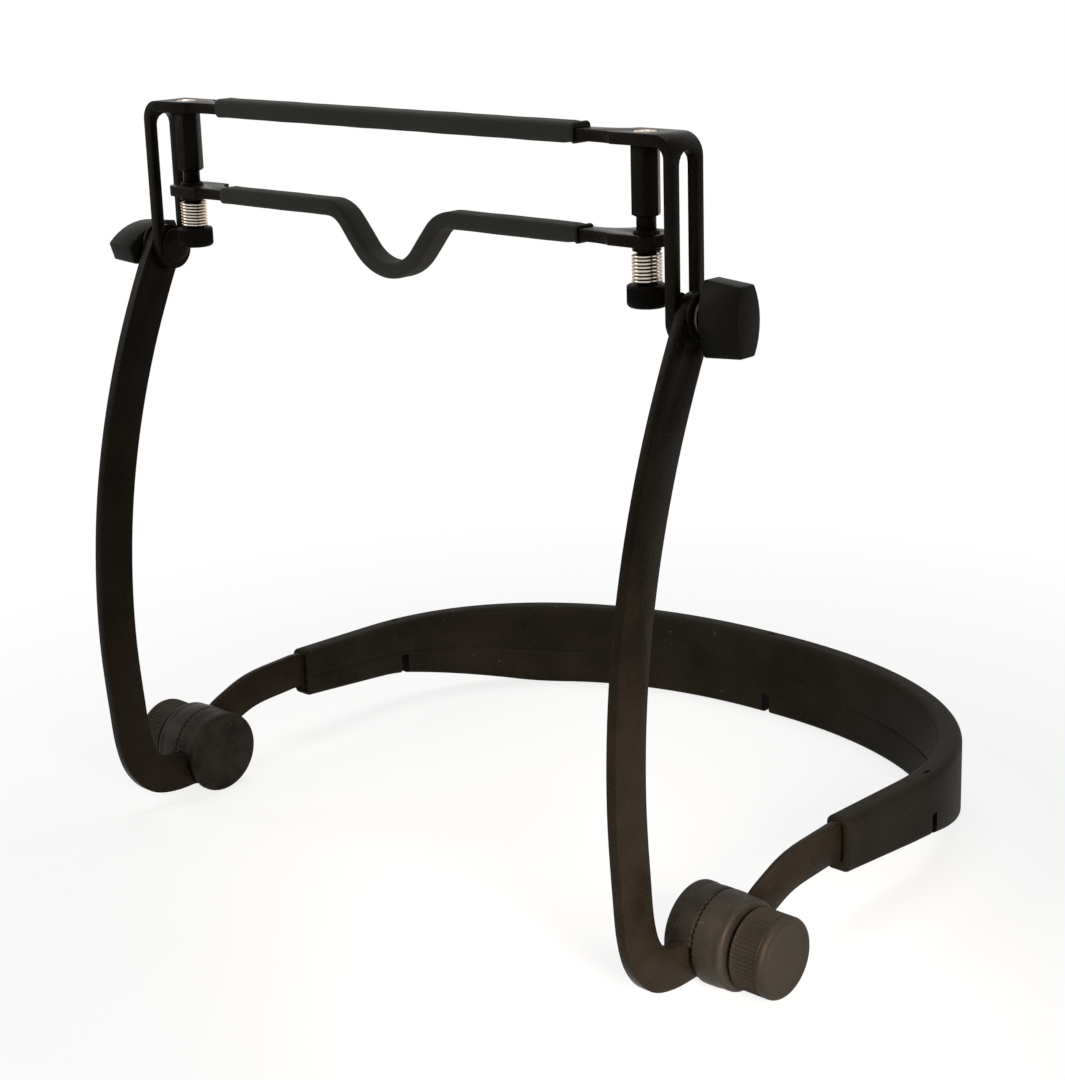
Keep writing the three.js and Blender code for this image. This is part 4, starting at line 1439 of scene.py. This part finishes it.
def wire_path(side):
    """Places along the wire, wound the other way on the left."""
    count = int(COILS * COIL_STEPS)
    places = []
    for step in range(count + 1):
        turn = COILS * step / count
        angle = 2 * math.pi * turn + FIRST_ANGLE
        x = side * (post_x + coil_radius * math.cos(angle))
        places.append((x, bolt_y + coil_radius * math.sin(angle), coil_height(turn)))
    return np.array(places)


def spring(side):
    path = wire_path(side)
    way = np.gradient(path, axis=0)
    way /= np.linalg.norm(way, axis=1)[:, None]
    turns = np.linspace(0, 2 * math.pi, WIRE_SIDES, endpoint=False)
    rings = []
    for step, (place, forward) in enumerate(zip(path, way)):
        out = np.array([place[0] - side * post_x, place[1] - bolt_y, 0])
        out /= np.linalg.norm(out)
        over = np.cross(out, forward)
        at_tip = step in (0, len(path) - 1)
        radius = WIRE / 2 * (TIP_SHARE if at_tip else 1)
        rings.append([tuple(place + radius * (out * math.cos(t) + over * math.sin(t))) for t in turns])
    return skinned("spring", *rings_joined(rings))


for side, label in ((1, "right"), (-1, "left")):
    coil = spring(side)
    dressed(coil, f"{label}_jaw_spring", rides=False)
    shade(coil, crisp_over=60)
    foot = (side * post.x, bolt.y, spring_foot * MM)
    head = (side * post.x, bolt.y, spring_head * MM)
    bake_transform(coil)
print("springs", len(coil.data.polygons), "faces each")

# %% [markdown]
# ## Post screws
# A countersunk screw holds each post to the bar, and only its head with the cross shows. The head is
# turned, and the cross is cut with two tapered bars at a right angle to each other.

# %% Countersunk screws
SCREW_SIDES = 64
THREAD_RADIUS = 1.5
THREAD_ROUND = 0.3
SCREW_HEAD_TALL = 1.5
CROSS_ANGLE = 0.5
screw_low, screw_high = low_high("right_post_screw")
screw_radius = (screw_high[0] - screw_low[0]) / 2
screw_foot = screw_low[2]
screw_top = screw_high[2]
screw_head = ((0.1, -0.25), (0, -0.15), (0.05, -0.05), (0.2, 0))
screw_dish = ((2.0, -0.05), (1.75, -0.25), (1.2, -1.0), (0, -1.1))
cross_bars = ((-1.6, 0.8, 0.26), (0.4, 2.1, 0.5))


def cross_bar(angle):
    """One bar of the cross, narrower at its foot, turned about the screw's axis."""
    across = math.cos(angle)
    aside = math.sin(angle)
    rings = []
    for rise, long, wide in cross_bars:
        corners = ((-long, -wide), (long, -wide), (long, wide), (-long, wide))
        height = screw_top + rise
        turned_corners = [(a * across - b * aside, a * aside + b * across) for a, b in corners]
        rings.append([(post_x + a, bolt_y + b, height) for a, b in turned_corners])
    return skinned("cutter", *rings_joined(rings))


profile = [(0, screw_foot), (THREAD_RADIUS - THREAD_ROUND, screw_foot)]
profile += [(THREAD_RADIUS, screw_foot + THREAD_ROUND), (THREAD_RADIUS, screw_top - SCREW_HEAD_TALL)]
profile += profile_part(screw_radius, screw_top, screw_head)
profile += [(radius, screw_top + rise) for radius, rise in screw_dish]
post_screw = turned(profile, "z", post_centre, SCREW_SIDES)
carved(post_screw, [cross_bar(CROSS_ANGLE), cross_bar(CROSS_ANGLE + math.pi / 2)])
pair(post_screw, "post_screw", crisp_over=30)

# %% [markdown]
# ## Clamp bolts
# The flat round head of each clamp bolt lies against the inner face of a leg. Its shank runs out
# through the leg's slot and the arm, and carries the washers and the paddle knob. The head is very
# slightly domed, with a rounded edge.

# %% Clamp bolts
BOLT_SIDES = 64
SHANK_RADIUS = 2.7
SHANK_END_ROUND = 0.4
HEAD_THICK = 0.9
DOME_RADIUS = 2.2
DOME_FALL = 0.02
head_low, head_high = low_high("right_clamp_bolt")
head_radius = (head_high[2] - head_low[2]) / 2
head_face = head_low[0]
shank_end = head_high[0]
head_edge = ((1.0, 0.16), (0.35, 0.34), (0.06, 0.56), (0, 0.72), (0.05, 0.86), (0.15, HEAD_THICK))
profile = [(0, head_face), (DOME_RADIUS, head_face + DOME_FALL)]
profile += profile_part(head_radius, head_face, head_edge)
profile += [(SHANK_RADIUS, head_face + HEAD_THICK), (SHANK_RADIUS, shank_end - SHANK_END_ROUND)]
profile += [(SHANK_RADIUS - SHANK_END_ROUND, shank_end), (0, shank_end)]
clamp_bolt = turned(profile, "x", (bolt_y, bolt_z), BOLT_SIDES)
pair(clamp_bolt, "clamp_bolt", crisp_over=40)

# %% [markdown]
# ## Floor
# The holder stands on pale paper that fades to plain white away from it and keeps its shadow. More
# light would turn the paper white too, but it would also wash out the black holder. So the rays that
# see the background get a share of plain white from the material instead, and all other rays meet
# real paper.

# %% Pale floor
FLOOR_SIZE = 12
FLOOR_BELOW = 0.0002
FADE_FROM = 0.14
FADE_TO = 0.3
WHITE_NEAR_SHARE = 0.8
PAPER = (0.92, 0.92, 0.92, 1)
WHITE = (1, 1, 1, 1)


def background_rays(tree):
    """One for the rays that show the background: those of the camera, mirrors and glass."""
    rays = tree.nodes.new("ShaderNodeLightPath").outputs
    mirrored_rays = math_node(tree, "MAXIMUM", rays["Is Glossy Ray"], rays["Is Transmission Ray"])
    return math_node(tree, "MAXIMUM", rays["Is Camera Ray"], mirrored_rays)


def pale_floor():
    made = bpy.data.materials.new("pale_floor")
    made.use_nodes = True
    tree = made.node_tree
    paper = tree.nodes["Principled BSDF"]
    paper.inputs["Base Color"].default_value = PAPER
    paper.inputs["Roughness"].default_value = 0.9
    paper.inputs["Specular IOR Level"].default_value = 0.1
    glow = tree.nodes.new("ShaderNodeEmission")
    glow.inputs["Color"].default_value = WHITE
    place = tree.nodes.new("ShaderNodeTexCoord")
    away = tree.nodes.new("ShaderNodeVectorMath")
    away.operation = "LENGTH"
    tree.links.new(place.outputs["Object"], away.inputs[0])
    share = ramp(tree, away.outputs["Value"], FADE_FROM, FADE_TO, WHITE_NEAR_SHARE, 1.0)
    mixer = tree.nodes.new("ShaderNodeMixShader")
    tree.links.new(math_node(tree, "MULTIPLY", background_rays(tree), share), mixer.inputs["Fac"])
    tree.links.new(paper.outputs["BSDF"], mixer.inputs[1])
    tree.links.new(glow.outputs["Emission"], mixer.inputs[2])
    tree.links.new(mixer.outputs["Shader"], tree.nodes["Material Output"].inputs["Surface"])
    return made


bpy.ops.object.select_all(action="DESELECT")
bpy.ops.mesh.primitive_plane_add(size=FLOOR_SIZE, location=(0, 0, -FLOOR_BELOW))
bpy.ops.object.transform_apply(location=True, rotation=True, scale=True)
floor = bpy.context.active_object
floor.name = "floor"
floor.data.materials.append(pale_floor())
print("floor", FLOOR_SIZE, "metres wide")

# %% [markdown]
# ## Surroundings
# The world lights the holder softly and evenly from all sides, and weakly, so that the lamps give the
# forms their light and dark sides. As on the floor, the rays that see the background get plain white.

# %% White surroundings
SOFT_STRENGTH = 0.07


def studio():
    world = bpy.data.worlds.new("studio")
    world.use_nodes = True
    tree = world.node_tree
    soft = tree.nodes["Background"]
    soft.inputs["Color"].default_value = WHITE
    soft.inputs["Strength"].default_value = SOFT_STRENGTH
    seen = tree.nodes.new("ShaderNodeBackground")
    seen.inputs["Color"].default_value = WHITE
    mixer = tree.nodes.new("ShaderNodeMixShader")
    tree.links.new(background_rays(tree), mixer.inputs["Fac"])
    tree.links.new(soft.outputs["Background"], mixer.inputs[1])
    tree.links.new(seen.outputs["Background"], mixer.inputs[2])
    tree.links.new(mixer.outputs["Shader"], tree.nodes["World Output"].inputs["Surface"])
    return world


bpy.context.scene.world = studio()
bpy.context.scene.view_settings.view_transform = "Standard"
print("soft light", SOFT_STRENGTH)

# %% [markdown]
# ## Lamps
# Four area lamps light the holder. A wide one overhead draws the upper edges, weaker ones stand far
# out on the left and right, and a small warm one low on the right lights the foot of the right arm
# and its hub. The low lamp has a narrow spread, so that little of its light falls elsewhere.

# %% Four area lamps
def lamp(name, place, size, power, colour, aim_at=(0, 0, 0.1), spread=180):
    """A rectangular lamp at a place, turned towards a point; power is in watts, spread in degrees."""
    data = bpy.data.lights.new(name, "AREA")
    data.shape = "RECTANGLE"
    data.size = size[0]
    data.size_y = size[1]
    data.energy = power
    data.color = colour
    data.spread = math.radians(spread)
    made = object_of(name, data)
    made.location = place
    made.rotation_euler = (Vector(aim_at) - Vector(place)).to_track_quat("-Z", "Y").to_euler()


lamp("top_light", place=(-0.15, 0.15, 1.1), size=(0.7, 0.25), power=5.5, colour=(1, 1, 1))
lamp("left_light", place=(-0.75, -0.6, 0.6), size=(0.3, 0.5), power=3, colour=(1, 1, 0.97))
lamp("right_light", place=(0.72, 0.05, 0.35), size=(0.25, 0.5), power=0.5, colour=(1, 0.92, 0.84))
lamp(
    "low_right_light",
    place=(0.32, -0.22, 0.13),
    size=(0.12, 0.1),
    power=0.23,
    colour=(1, 0.87, 0.74),
    aim_at=(0.105, -0.09, 0.02),
    spread=45,
)
